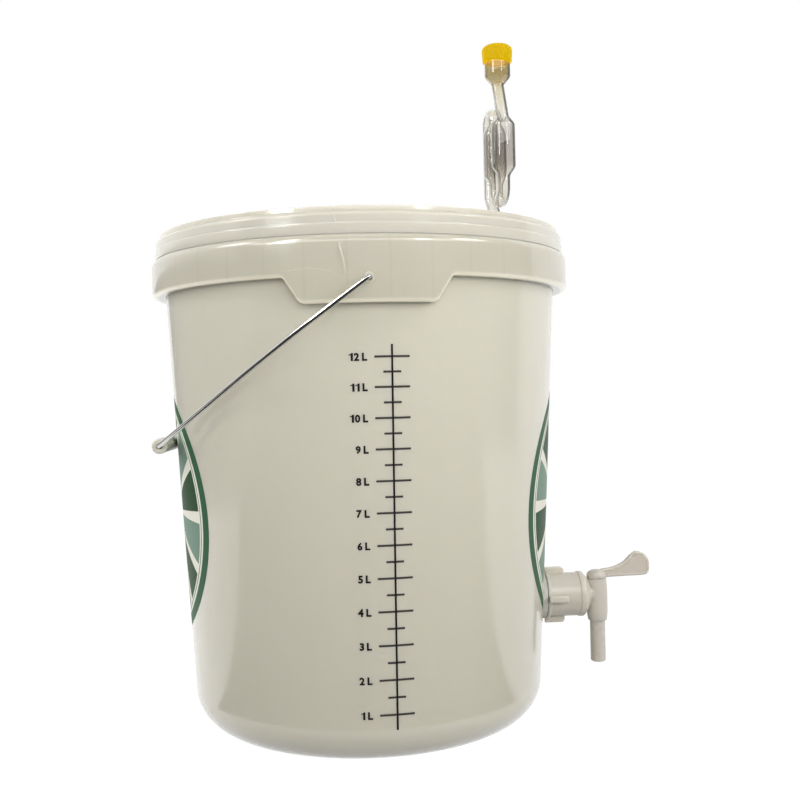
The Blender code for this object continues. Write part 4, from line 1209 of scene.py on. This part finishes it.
def make_scale():
    """The litre scale's upright line and ticks, as thin solids on the wall."""
    halves = [(low + high) / 2 for low, high in zip(LITRE_HEIGHTS, LITRE_HEIGHTS[1:])]
    tick_places = [(0, height, PRINT_MIDDLE) for height in LITRE_HEIGHTS + halves]
    reaches = [LITRE_TICK_LENGTH] * len(LITRE_HEIGHTS) + [HALF_TICK_LENGTH] * len(halves)
    line_place = (0, (SCALE_LINE_BOTTOM + SCALE_LINE_TOP) / 2, PRINT_MIDDLE + LABEL_LIFT)
    line_length = SCALE_LINE_TOP - SCALE_LINE_BOTTOM
    bars = [
        ("litre_ticks", "grey_ink", tick_places, reaches, TICK_WIDTH, TICK_PIECES),
        ("litre_line", "black_ink", [line_place], [SCALE_LINE_WIDTH], line_length, LINE_PIECES),
    ]
    for name, ink, places, lengths, width, pieces in bars:
        mesh = line_mesh(name, places, "reach", lengths, False)
        bar = TICKS.make(name, mesh, ink, Width=width, Depth=PRINT_DEPTH, Pieces=pieces)
        inked(bar, ink, SCALE_TURN, smooth=False)


def make_scale_numbers():
    """The numbers beside the litre ticks, each followed by an L, set from the right."""
    glyphs = {character: make_glyph(character) for character in "1234567890L"}

    def fill(bm):
        for litres, height in enumerate(LITRE_HEIGHTS, 1):
            right = -LITRE_TICK_LENGTH / 2 - DIGIT_GAP
            for character in reversed(f"{litres} L"):
                if character == " ":
                    right -= WORD_GAP - GLYPH_GAP
                    continue
                mesh, width = glyphs[character]
                placed = mesh.copy()
                placed.transform(Matrix.Translation((right, height, PRINT_MIDDLE)))
                bm.from_mesh(placed)
                right -= width + GLYPH_GAP

    numbers = new_piece("litre_numbers", filled("litre_numbers", fill))
    inked(numbers, "black_ink", SCALE_TURN, smooth=False)


def make_glyph(character):
    """One character of the scale as a flat solid with its right edge at zero, and its width.

    The 1 has its own outline, and the 9 is the 6 turned round.
    """
    if character == "1":
        mesh = filled("glyph", one_fill)
    else:
        letters = bpy.data.curves.new("glyph", "FONT")
        letters.body = {"9": "6"}.get(character, character)
        letters.offset = DIGIT_WEIGHT
        letters.extrude = GLYPH_HALF_DEPTH
        letters.resolution_u = GLYPH_STEPS
        holder = new_piece("glyph", letters)
        bpy.context.view_layer.update()
        mesh = bpy.data.meshes.new_from_object(holder.evaluated_get(bpy.context.evaluated_depsgraph_get()))
        bpy.data.objects.remove(holder, do_unlink=True)
        if character == "9":
            mesh.transform(Matrix.Rotation(HALF_TURN, 4, "Z"))
    low_x, high_x = (pick(vertex.co.x for vertex in mesh.vertices) for pick in (min, max))
    low_y, high_y = (pick(vertex.co.y for vertex in mesh.vertices) for pick in (min, max))
    scale = DIGIT_HEIGHT / (high_y - low_y)
    mesh.transform(Matrix.Diagonal((scale, scale, PRINT_DEPTH, 1.0))
                   @ Matrix.Translation((-high_x, -(low_y + high_y) / 2, 0)))
    return mesh, (high_x - low_x) * scale


def one_fill(bm):
    """The digit 1, a bold stem with a flag, one unit high and one thick."""
    levels = (-GLYPH_HALF_DEPTH, GLYPH_HALF_DEPTH)
    sheets = [[bm.verts.new((x, y, level)) for x, y in ONE_OUTLINE] for level in levels]
    skin(bm, *sheets)
    for corners in ONE_FACES:
        for sheet in sheets:
            bm.faces.new([sheet[corner] for corner in corners])


def disc_mesh(name, inner, outer, lift, turns=(0.0, FULL_TURN)):
    """A thin flat solid ring, disc or sector, that follows the wall once it is wrapped."""
    sweep = turns[1] - turns[0]
    whole = sweep > FULL_TURN - MERGE
    steps = max(round(LABEL_STEPS * sweep / FULL_TURN), SECTOR_STEPS)
    bands = max(round((outer - inner) / LABEL_BAND), 1)
    places = spread(*turns, steps)[:-1] if whole else spread(*turns, steps)
    radii = [max(radius, LABEL_CENTRE) for radius in spread(inner, outer, bands)]
    rows = [[polar(radius, turn) for turn in places] for radius in radii]
    levels = (-PRINT_SEAT, PRINT_PROUD + lift)

    def fill(bm):
        sheets = [[[bm.verts.new((*place, level)) for place in row] for row in rows] for level in levels]
        for sheet in sheets:
            for first, second in zip(sheet, sheet[1:]):
                skin(bm, first, second, whole)
        for row in (0, bands):
            skin(bm, sheets[0][row], sheets[1][row], whole)
        if not whole:
            for end in (0, steps):
                skin(bm, *[[row[end] for row in sheet] for sheet in sheets], False)
    return filled(name, fill)


def make_label(side, turn):
    """A round printed label: a green ring, a pale line and a rosette of petals on a cream field."""
    inner = LABEL_RADIUS - LABEL_RING
    field = inner - LABEL_LINE
    petal_turn = HALF_TURN / LABEL_PETALS * PETAL_SHARE
    layers = [
        ("ring", disc_mesh("ring", inner, LABEL_RADIUS, 0), "green_ink"),
        ("field", disc_mesh("field", 0, inner, 0), "cream_ink"),
        ("heart", disc_mesh("heart", 0, LABEL_HEART, LABEL_LIFT), "dark_green_ink"),
        ("line", disc_mesh("line", field - LABEL_LINE / 2, field, LABEL_LIFT), "sage_ink"),
    ]
    for name, mesh, finish in layers:
        inked(new_piece(side + "_label_" + name, mesh), finish, turn, LABEL_HEIGHT)
    for index, finish in enumerate(("dark_green_ink", "sage_ink")):
        petal = disc_mesh("petal", PETAL_INNER, PETAL_OUTER, LABEL_LIFT, (-petal_turn, petal_turn))
        piece = PETALS.make(side + "_label_petals_" + str(index + 1), petal, finish, Count=LABEL_PETALS // 2,
                            Shift=FULL_TURN * (index + 0.5) / LABEL_PETALS)
        inked(piece, finish, turn, LABEL_HEIGHT)


# Lid

def lid_section():
    """Half section of the lid: panel, rim channel over the bead, and the plug wall in the mouth."""
    lip_foot = LID_TOP - LID_LIP_HEIGHT
    shoulder_foot = lip_foot - LID_SHOULDER
    band_top = LID_BOTTOM + LID_BAND_HEIGHT
    upper_skirt = LID_SKIRT_RADIUS - LID_BAND_STEP
    crown_radius = LID_LIP_RADIUS - LID_WALL
    channel_radius = LID_SKIRT_RADIUS - LID_WALL
    plug_bottom = PANEL_UNDERSIDE - PLUG_DROP
    shoulder_step = (upper_skirt - LID_LIP_RADIUS) * LID_SHOULDER_SHARE
    corners = [
        (0, PANEL_TOP + DISC_RISE),
        (DISC_RADIUS, PANEL_TOP + DISC_RISE),
        (DISC_RADIUS + DISC_SLOPE, PANEL_TOP),
        (PLUG_INNER, PANEL_TOP),
        (PLUG_INNER, LID_TOP),
        (LID_LIP_RADIUS, LID_TOP),
        (LID_LIP_RADIUS, lip_foot),
        (LID_LIP_RADIUS + shoulder_step, lip_foot - shoulder_step / 2),
        (upper_skirt - shoulder_step / 2, shoulder_foot + shoulder_step / 2),
        (upper_skirt, shoulder_foot - shoulder_step / 2),
        (upper_skirt, band_top + LID_BAND_STEP),
        (LID_SKIRT_RADIUS, band_top),
        (LID_SKIRT_RADIUS, LID_BOTTOM - LEDGE_DROP + SEAT_GAP),
        (channel_radius, LID_BOTTOM),
        (channel_radius, shoulder_foot - LID_WALL),
        (crown_radius, lip_foot - LID_WALL / 2),
        (crown_radius, CROWN_UNDERSIDE),
        (PLUG_OUTER, CROWN_UNDERSIDE),
        (PLUG_OUTER, plug_bottom),
        (PLUG_INNER, plug_bottom),
        (PLUG_INNER, PANEL_UNDERSIDE),
        (DISC_RADIUS + DISC_SLOPE - PANEL_WALL / 2, PANEL_UNDERSIDE),
        (DISC_RADIUS - PANEL_WALL / 2, PANEL_UNDERSIDE + DISC_RISE),
        (0, PANEL_UNDERSIDE + DISC_RISE),
    ]
    return softened(corners, LID_EDGE_ROUND)


def make_lid():
    """The lid with the hole for the airlock's grommet."""
    lid = turned("lid_shell", lid_section())
    merged(lid, "DIFFERENCE", rod("grommet_hole", LID_HOLE_RADIUS, PANEL_UNDERSIDE - OVERRUN,
                                  PANEL_TOP + OVERRUN, AIRLOCK_SEAT, SMALL_STEPS))
    mark_radius = LID_SKIRT_RADIUS - LID_BAND_STEP - LID_MARK_SINK
    merged(lid, "UNION", upright_line("mark", mark_radius, LID_MARK_PLACES, LID_MARK_RADIUS))
    return dressed(lid, "lid", "lid_plastic", "lid", stands_for=["lid"])


# Airlock

def shoulder(across, narrow_height, full_height, narrow, full):
    """Points where the tube swells smoothly from its narrow to its full radius."""
    points = []
    for share in spread(0, 1, SHOULDER_STEPS):
        swell = math.sin(share * QUARTER_TURN) * SWELL_SINE + (3 - 2 * share) * share ** 2 * SWELL_SMOOTH
        points.append((across, narrow_height + (full_height - narrow_height) * share,
                       narrow + (full - narrow) * swell))
    return points


def bulb(across, above, top, bottom):
    """Points down one bulb, from the height above its upper shoulder to its lower neck."""
    upper = shoulder(across, above, top, STEM_RADIUS, BULB_RADIUS)
    lower = shoulder(across, bottom - BULB_LOWER_SHOULDER, bottom, STEM_RADIUS, BULB_RADIUS)
    return upper + lower[::-1]


def at_stem_radius(points):
    """Points of the tube at the stem's radius."""
    return [(*point, STEM_RADIUS) for point in points]


def airlock_route():
    """The airlock's centre line as (across, height, radius), from the stem's tip to the funnel's rim."""
    tip = PANEL_UNDERSIDE - STEM_REACH
    riser = [(0, tip + STEM_TIP_HEIGHT), (0, RISER_FOOT), (-RISER_OFFSET, RISER_FOOT + RISER_SLANT),
             (-RISER_OFFSET, RISER_TOP)]
    arch_centre = -BULB_OFFSET - ARCH_RADIUS
    far_bottom = FAR_BULB_TOP - BULB_LENGTH
    near_bottom = NEAR_BULB_TOP - BULB_LENGTH
    route = [(0, tip, STEM_RADIUS - STEM_TIP_TAPER)]
    route += at_stem_radius(rounded(riser, RISER_BEND)[:-1])
    route += at_stem_radius(arc(arch_centre, RISER_TOP, ARCH_RADIUS, HALF_TURN, 0, ARCH_STEPS))
    route += bulb(-BULB_OFFSET, FAR_BULB_TOP + FAR_BULB_SHOULDER, FAR_BULB_TOP, far_bottom)
    route += at_stem_radius(arc(0, LOWER_BEND_HEIGHT, BULB_OFFSET, HALF_TURN, FULL_TURN, ARCH_STEPS))
    route += reversed(bulb(BULB_OFFSET, SLANT_FOOT, NEAR_BULB_TOP, near_bottom))
    route += shoulder(0, FUNNEL_FOOT, FUNNEL_FOOT + FUNNEL_SHOULDER, STEM_RADIUS, FUNNEL_RADIUS)
    route.append((0, FUNNEL_TOP, FUNNEL_RADIUS))
    return route


def make_airlock_tube():
    """The bent clear tube with its two bulbs and funnel, open at both ends."""
    spaced = []
    for across, height, radius in airlock_route():
        if not spaced or math.dist(spaced[-1][:2], (across, height)) > MERGE:
            spaced.append((across, height, radius))
    place = AIRLOCK_SEAT @ Matrix.Rotation(AIRLOCK_TURN, 4, "Z")
    route = [place @ Vector((across, 0, height)) for across, height, _ in spaced]
    tube = swept("airlock_glass", route, STEM_RADIUS, "glass",
                 swell=[radius / STEM_RADIUS for _, _, radius in spaced])
    bm = bmesh.new()
    bm.from_mesh(tube.data)
    ends = [face for face in bm.faces if len(face.verts) > 4]
    bmesh.ops.delete(bm, geom=ends, context="FACES_ONLY")
    bm.to_mesh(tube.data)
    bm.free()
    wall = tube.modifiers.new("wall", "SOLIDIFY")
    wall.thickness = AIRLOCK_WALL
    wall.offset = -1
    wall.use_even_offset = True
    applied(tube)
    return dressed(tube, "airlock", "airlock_clear_plastic", "glass", stands_for=["airlock_tube"])


def make_airlock_cap():
    """The cap over the funnel. Its inner side has a stronger painted glow, for the light that the funnel
    lets in.
    """
    ceiling = FUNNEL_TOP + CLEARANCE
    top = ceiling + CAP_TOP
    bottom = top - CAP_HEIGHT
    inner = FUNNEL_RADIUS + CLEARANCE
    low_radius = inner + CAP_WALL
    high_radius = low_radius + CAP_FLARE
    section = [(0, top)] + arc(high_radius - CAP_ROUND, top - CAP_ROUND, CAP_ROUND, QUARTER_TURN, 0)
    below = [(low_radius, bottom), (inner, bottom), (inner, ceiling), (0, ceiling)]
    section += softened([section[-1]] + below, CAP_WALL / 3)[1:]
    cap = turned("airlock_cap_shell", section, AIRLOCK_SEAT, SMALL_STEPS)
    dressed(cap, "airlock_cap", "airlock_cap_plastic", "cap", "cap_glowing_inside", stands_for=["airlock_cap"])
    # Faces inside, under the cap's ceiling, take the finish with the stronger painted glow
    seat = AIRLOCK_SEAT.translation
    for face in cap.data.polygons:
        across = (face.center - seat).xy.length
        under = face.center.z < seat.z + ceiling + MERGE
        face.material_index = int(under and across < inner + CAP_WALL / 2)
    return cap


# Bail

def bail_half():
    """Half of the bail in its plane, as (reach from the pivots, place along Y), from hook to grip."""
    corner = Vector((BAIL_LENGTH, GRIP_LENGTH / 2 + BAIL_BEND / 2))
    tangent_angle = corner.angle(Vector((1, 0))) + math.acos(BAIL_RADIUS / corner.length)
    angles = spread(QUARTER_TURN, tangent_angle, BAIL_ARC_STEPS)[1 + BAIL_ARC_STEPS // HOOK_ARC_PARTS:]
    arm = [Vector(polar(BAIL_RADIUS, angle)) for angle in angles]
    hook = [(HOOK_LENGTH, HOOK_PLACE), (0, HOOK_PLACE), (0, BAIL_RADIUS), tuple(arm[0])]
    middle = rounded([tuple(arm[-1]), tuple(corner), (BAIL_LENGTH, 0)], BAIL_BEND)
    return rounded(hook, HOOK_BEND)[:-1] + arm + middle[1:-1]


def make_bail_wire():
    """The plated wire hooked through both tabs."""
    half = bail_half()
    route = [(-reach, along, 0) for reach, along in half]
    route += [(-reach, -along, 0) for reach, along in reversed(half)]
    wire = swept("bail_wire_bent", [BAIL_PLANE @ Vector(point) for point in route], WIRE_RADIUS, "wire",
                 WIRE_SIDES)
    return dressed(wire, "bail", "bail_plated_steel", "wire", stands_for=["bail_wire"])


def make_bail_grip():
    """The grip, a plastic tube that turns on the wire."""
    end = GRIP_LENGTH / 2
    section = softened([(HOLE_RADIUS, end), (GRIP_RADIUS, end), (GRIP_RADIUS, -end), (HOLE_RADIUS, -end)],
                       GRIP_ROUND, True)
    place = BAIL_PLANE @ Matrix.Translation((-BAIL_LENGTH, 0, 0)) @ ALONG_Y
    grip = turned("bail_grip_tube", section, place, SMALL_STEPS, True)
    return dressed(grip, "grip", "grip_plastic", "grip", stands_for=["bail_grip"])


# Tap

def tap_fins():
    """Two crossed plates that make the four fins round the tap's flange."""
    fin_back = FLANGE_BACK + CLEARANCE
    fin_front = fin_back + FIN_LENGTH
    half = [(fin_back, -FIN_RADIUS), (fin_front, -FIN_RADIUS)]
    run = rounded(half + [(across, -up) for across, up in reversed(half)], FIN_ROUND)
    outline = [tuple(point) for point in run]
    levels = rolled(FIN_THICKNESS / 2, FIN_EDGE)
    centre = AXIS @ Matrix.Translation((0, 0, TAP_HEIGHT))
    return [slab("level_fins", outline, levels, centre),
            slab("upright_fins", outline, levels, centre @ ALONG_MINUS_Y)]


def merge_sleeve(body):
    """Add the upright sleeve that the plug turns in to the tap's barrel, and bore both."""
    top = TAP_HEIGHT + SLEEVE_ABOVE
    bottom = TAP_HEIGHT - SLEEVE_BELOW
    section = softened([
        (0, top),
        (SLEEVE_RADIUS - SLEEVE_SHOULDER_STEP, top),
        (SLEEVE_RADIUS, top - SLEEVE_SHOULDER),
        (SLEEVE_RADIUS, bottom + SLEEVE_TAPER_HEIGHT),
        (SLEEVE_RADIUS - SLEEVE_TAPER, bottom),
        (0, bottom),
    ], END_PROUD)
    upright = AXIS @ Matrix.Translation((SLEEVE_PLACE, 0, 0))
    merged(body, "UNION",
           rod("neck", NECK_TUBE_RADIUS, BARREL_END, SLEEVE_PLACE - SLEEVE_WALL, TAP_AXIS, SMALL_STEPS),
           turned("sleeve", section, upright, SMALL_STEPS))
    merged(body, "DIFFERENCE",
           rod("sleeve_bore", SLEEVE_BORE, bottom - OVERRUN, top + OVERRUN, upright, SMALL_STEPS),
           rod("tap_bore", TAP_BORE, STUB_END - OVERRUN, SLEEVE_PLACE, TAP_AXIS))


def make_tap_body():
    """The tap's barrel with its flange, four fins and bevelled end, and its sleeve."""
    end_radius = BARREL_RADIUS + END_PROUD
    bevel_radius = end_radius - END_BEVEL
    corners = [
        (0, TAP_END),
        (bevel_radius - 2 * END_ROUND, TAP_END),
        (bevel_radius, TAP_END - END_ROUND),
        (end_radius, BARREL_END + END_RING),
        (end_radius, BARREL_END),
        (BARREL_RADIUS, BARREL_END - END_PROUD),
        (BARREL_RADIUS, FLANGE_FRONT),
        (FLANGE_RADIUS, FLANGE_FRONT),
        (FLANGE_RADIUS, FLANGE_BACK),
        (STUB_RADIUS - THREAD_DEPTH, FLANGE_BACK),
        (STUB_RADIUS - THREAD_DEPTH, STUB_END),
        (0, STUB_END),
    ]
    body = turned("tap_barrel", softened(corners, FLANGE_ROUND), TAP_AXIS, SMALL_STEPS)
    merged(body, "UNION", *tap_fins())
    merge_sleeve(body)
    return dressed(body, "bucket", "tap_body_plastic", "tap", stands_for=["tap_body"])


def plug_section(seat):
    """Half section of the plug, from its domed hub on the seat to the tip of its spout."""
    hub_radius = PLUG_RADIUS + HUB_OVERHANG
    tip = -SLEEVE_BELOW - SPOUT_LENGTH
    dome = HUB_HEIGHT - HUB_EDGE
    section = [(0, seat + HUB_HEIGHT)]
    for across, up in arc(0, 0, 1, QUARTER_TURN, 0)[1:]:
        section.append((hub_radius * across, seat + HUB_EDGE + dome * up))
    under = [(hub_radius, seat), (PLUG_RADIUS, seat), (PLUG_RADIUS, seat - OVERRUN)]
    section += softened([section[-1]] + under, END_PROUD)[1:]
    section += arc(PLUG_RADIUS - SPOUT_ROUND, tip + SPOUT_ROUND, SPOUT_ROUND, 0, -QUARTER_TURN)
    inside = [(PLUG_BORE, tip), (PLUG_BORE, PLUG_BORE_ABOVE), (0, PLUG_BORE_ABOVE)]
    section += softened([section[-1]] + inside, CLEARANCE)[1:]
    return section


def lever_slab(seat):
    """The flat lever with its raised border."""
    shares = flowing(LEVER_OUTLINE_SHARES)
    reach = max(length_share for length_share, _ in shares)
    foot = min(height_share for _, height_share in shares)
    outline = [(LEVER_LENGTH * length_share / reach, LEVER_HEIGHT * (height_share - foot))
               for length_share, height_share in shares]
    rim = LEVER_THICKNESS / 2
    border = LEVER_ROUND + LEVER_BORDER
    levels = rolled(rim, LEVER_ROUND) + [(border, rim), (border + LEVER_RECESS, rim - LEVER_RECESS)]
    place = TAP_TURN_AXIS @ Matrix.Translation((0, 0, seat + CLEARANCE)) @ ALONG_MINUS_Y
    return slab("lever", outline, levels, place)


def make_tap_plug():
    """The plug with its hub, lever and spout, and the port that meets the barrel's bore."""
    seat = SLEEVE_ABOVE + SEAT_GAP
    plug = turned("tap_plug_turned", plug_section(seat), TAP_TURN_AXIS, SMALL_STEPS)
    merged(plug, "UNION", lever_slab(seat))
    merged(plug, "DIFFERENCE",
           rod("plug_port", PLUG_BORE, -PLUG_RADIUS - OVERRUN, 0, TAP_TURN_AXIS @ ALONG_X))
    return dressed(plug, "tap_plug", "tap_plug_plastic", "plug", stands_for=["tap_plug"])


def coat_kept_nodes():
    """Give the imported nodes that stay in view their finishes."""
    for node, finish in KEPT_NODES.items():
        for slot in frame["nodes"][node].material_slots:
            slot.material = FINISHES[finish]


# Studio

CAMERA_PLACE = (-0.0261, -0.7464, 0.2277)
CAMERA_TURN = (89.691, 1.365, -4.048)
CAMERA_LENS = 46.4735
CAMERA_SENSOR = 36
CAMERA_CLIP = 0.01
FLOOR_SIZE = 8
WORLD_LEVEL = 0.34
FLOOR_GREY = 0.24
FLOOR_GLOW = 1.30
FLOOR_GLOW_SHARE = 0.76
SIDE_CARD = [(-0.95, -0.4), (-0.95, 1.6)]

# Cards: name, reach from the axis, turns in degrees, heights, grey, and whether only glass shows it
CARDS = [
    ("front_card", 1.5, (-155, -25), (0, 3.0), 0.05, False),
    ("right_card", 1.5, (-25, 10), (0, 3.0), 0.26, False),
    ("left_card", 1.5, (-180, -155), (0, 0.45), 0.26, False),
    ("side_card", None, None, (0, 0.45), 0.26, False),
    ("front_strip", 1.45, (-150, -30), (0.76, 1.16), 3.4, False),
    ("left_window", 1.4, (-139, -127), (0.66, 1.90), 14.0, False),
    ("right_window", 1.4, (-62, -56), (0.72, 1.30), 14.0, False),
    ("right_flag", 1.5, (15, 65), (0, 3.0), 0.08, True),
    ("left_flag", 1.5, (115, 165), (0, 3.0), 0.08, True),
]
FAN_STEP = 3
MAT_TURNS = (-168, -21)
MAT_START = 0.16
MAT_END = 1.5
MAT_HEIGHT = 0.002
MAT_GREY = 0.06

# Lamps: name, place, size, power, and whether gloss and glass show it
LAMPS = [
    ("left_lamp", (-1.18, -0.25, 1.2), 0.4, 4.5, True),
    ("right_lamp", (1.05, -0.56, 1.2), 0.4, 4.5, True),
    ("side_fill", (-1.25, -0.30, 0.44), 0.8, 4.0, False),
    ("left_fill", (-0.60, -0.85, 0.40), 0.6, 1.1, False),
    ("right_fill", (0.65, -0.80, 0.40), 0.6, 4.4, False),
    ("front_fill", (0.05, -0.95, 0.44), 0.4, 2.6, False),
    ("left_back_fill", (-1.05, 0.75, 0.6), 0.8, 9.0, False),
    ("right_back_fill", (0.95, 0.95, 0.6), 0.8, 7.0, False),
]
LAMP_AIM = (0, 0, 0.2)


def make_camera():
    """The camera at the photograph's viewing angle."""
    camera = bpy.data.cameras.new("camera")
    camera.sensor_width = CAMERA_SENSOR
    camera.lens = CAMERA_LENS
    camera.clip_start = CAMERA_CLIP
    holder = bpy.data.objects.new("camera", camera)
    bpy.context.scene.collection.objects.link(holder)
    holder.location = Vector(CAMERA_PLACE) + Vector((AXIS_X, 0, 0))
    holder.rotation_euler = Euler([math.radians(angle) for angle in CAMERA_TURN], "XYZ")
    bpy.context.scene.camera = holder


def seen_directly(nodes):
    """One for rays from the camera, from gloss and through glass, nothing for other light."""
    path = nodes.add("ShaderNodeLightPath").outputs
    first = nodes.add("ShaderNodeMath", {"operation": "MAXIMUM"},
                      {0: path["Is Camera Ray"], 1: path["Is Glossy Ray"]}).outputs[0]
    return nodes.add("ShaderNodeMath", {"operation": "MAXIMUM"},
                     {0: first, 1: path["Is Transmission Ray"]}).outputs[0]


def bare_nodes(owner):
    """The emptied node tree of a material or of the world."""
    owner.use_nodes = True
    owner.node_tree.nodes.clear()
    return Nodes(owner.node_tree)


def make_world():
    """A plain white surround that lights the object softly."""
    world = bpy.data.worlds.new("studio")
    nodes = bare_nodes(world)
    light = nodes.add("ShaderNodeBackground", {}, {"Color": WHITE, "Strength": WORLD_LEVEL})
    white = nodes.add("ShaderNodeBackground", {}, {"Color": WHITE, "Strength": 1.0})
    mix = nodes.add("ShaderNodeMixShader", {}, {0: seen_directly(nodes), 1: light.outputs[0],
                                                2: white.outputs[0]})
    nodes.add("ShaderNodeOutputWorld", {}, {"Surface": mix.outputs[0]})
    bpy.context.scene.world = world


def studio_piece(name, corners, faces, material):
    """A flat piece of the studio."""
    mesh = bpy.data.meshes.new(name)
    mesh.from_pydata(corners, [], faces)
    mesh.materials.append(material)
    return new_piece(name, mesh)


def make_floor():
    """A pale floor that looks white and keeps the object's shadow."""
    material = bpy.data.materials.new("floor_paper")
    nodes = bare_nodes(material)
    paper = nodes.add("ShaderNodeBsdfDiffuse", {}, {"Color": even_grey(FLOOR_GREY)})
    glow = nodes.add("ShaderNodeEmission", {}, {"Color": WHITE, "Strength": FLOOR_GLOW})
    seen = Level(nodes, seen_directly(nodes))
    mix = nodes.add("ShaderNodeMixShader", {}, {0: seen * FLOOR_GLOW_SHARE, 1: paper.outputs[0],
                                                2: glow.outputs[0]})
    nodes.add("ShaderNodeOutputMaterial", {}, {"Surface": mix.outputs[0]})
    half = FLOOR_SIZE / 2
    corners = [(-half, -half, 0), (half, -half, 0), (half, half, 0), (-half, half, 0)]
    studio_piece("floor", corners, [(0, 1, 2, 3)], material)


def hung(name, corners, faces, grey, in_glass):
    """A plain grey card that only reflections or only glass shows."""
    material = bpy.data.materials.new(name)
    nodes = bare_nodes(material)
    paper = nodes.add("ShaderNodeEmission", {}, {"Color": even_grey(grey), "Strength": 1.0})
    nodes.add("ShaderNodeOutputMaterial", {}, {"Surface": paper.outputs[0]})
    card = studio_piece(name, corners, faces, material)
    card.visible_camera = False
    card.visible_diffuse = False
    card.visible_shadow = False
    card.visible_glossy = not in_glass
    card.visible_transmission = in_glass


def fan(radius, turns):
    """Places round the bucket, from one turn to another in degrees."""
    angles = range(turns[0], turns[1] + 1, FAN_STEP)
    return [round_bucket(radius, math.radians(angle), 0)[:2] for angle in angles]


def strip(count):
    """Faces between pairs of points in a row."""
    return [(2 * index, 2 * index + 1, 2 * index + 3, 2 * index + 2) for index in range(count - 1)]


def make_cards():
    """Grey cards round the camera's side for reflections, and at both sides for the clear plastic."""
    for name, reach, turns, heights, grey, in_glass in CARDS:
        foot = fan(reach, turns) if turns else SIDE_CARD
        corners = [(x, y, level) for x, y in foot for level in heights]
        hung(name, corners, strip(len(foot)), grey, in_glass)
    rows = zip(fan(MAT_START, MAT_TURNS), fan(MAT_END, MAT_TURNS))
    corners = [(x, y, MAT_HEIGHT) for row in rows for x, y in row]
    hung("front_mat", corners, strip(len(corners) // 2), MAT_GREY, False)


def make_lamps():
    """Soft square lamps that face the object."""
    for name, place, size, power, in_gloss in LAMPS:
        lamp = bpy.data.lights.new(name, "AREA")
        lamp.size = size
        lamp.energy = power
        holder = bpy.data.objects.new(name, lamp)
        bpy.context.scene.collection.objects.link(holder)
        holder.visible_glossy = in_gloss
        holder.visible_transmission = in_gloss
        holder.location = place
        holder.rotation_euler = (Vector(LAMP_AIM) - Vector(place)).to_track_quat("-Z", "Y").to_euler()


bpy.context.scene.view_settings.view_transform = "Standard"
make_bucket()
make_collar_ribs()
make_scale()
make_scale_numbers()
make_label("tap_side", 0.0)
make_label("grip_side", HALF_TURN)
make_lid()
make_airlock_tube()
make_airlock_cap()
make_bail_wire()
make_bail_grip()
make_tap_body()
make_tap_plug()
coat_kept_nodes()
make_camera()
make_world()
make_floor()
make_cards()
make_lamps()
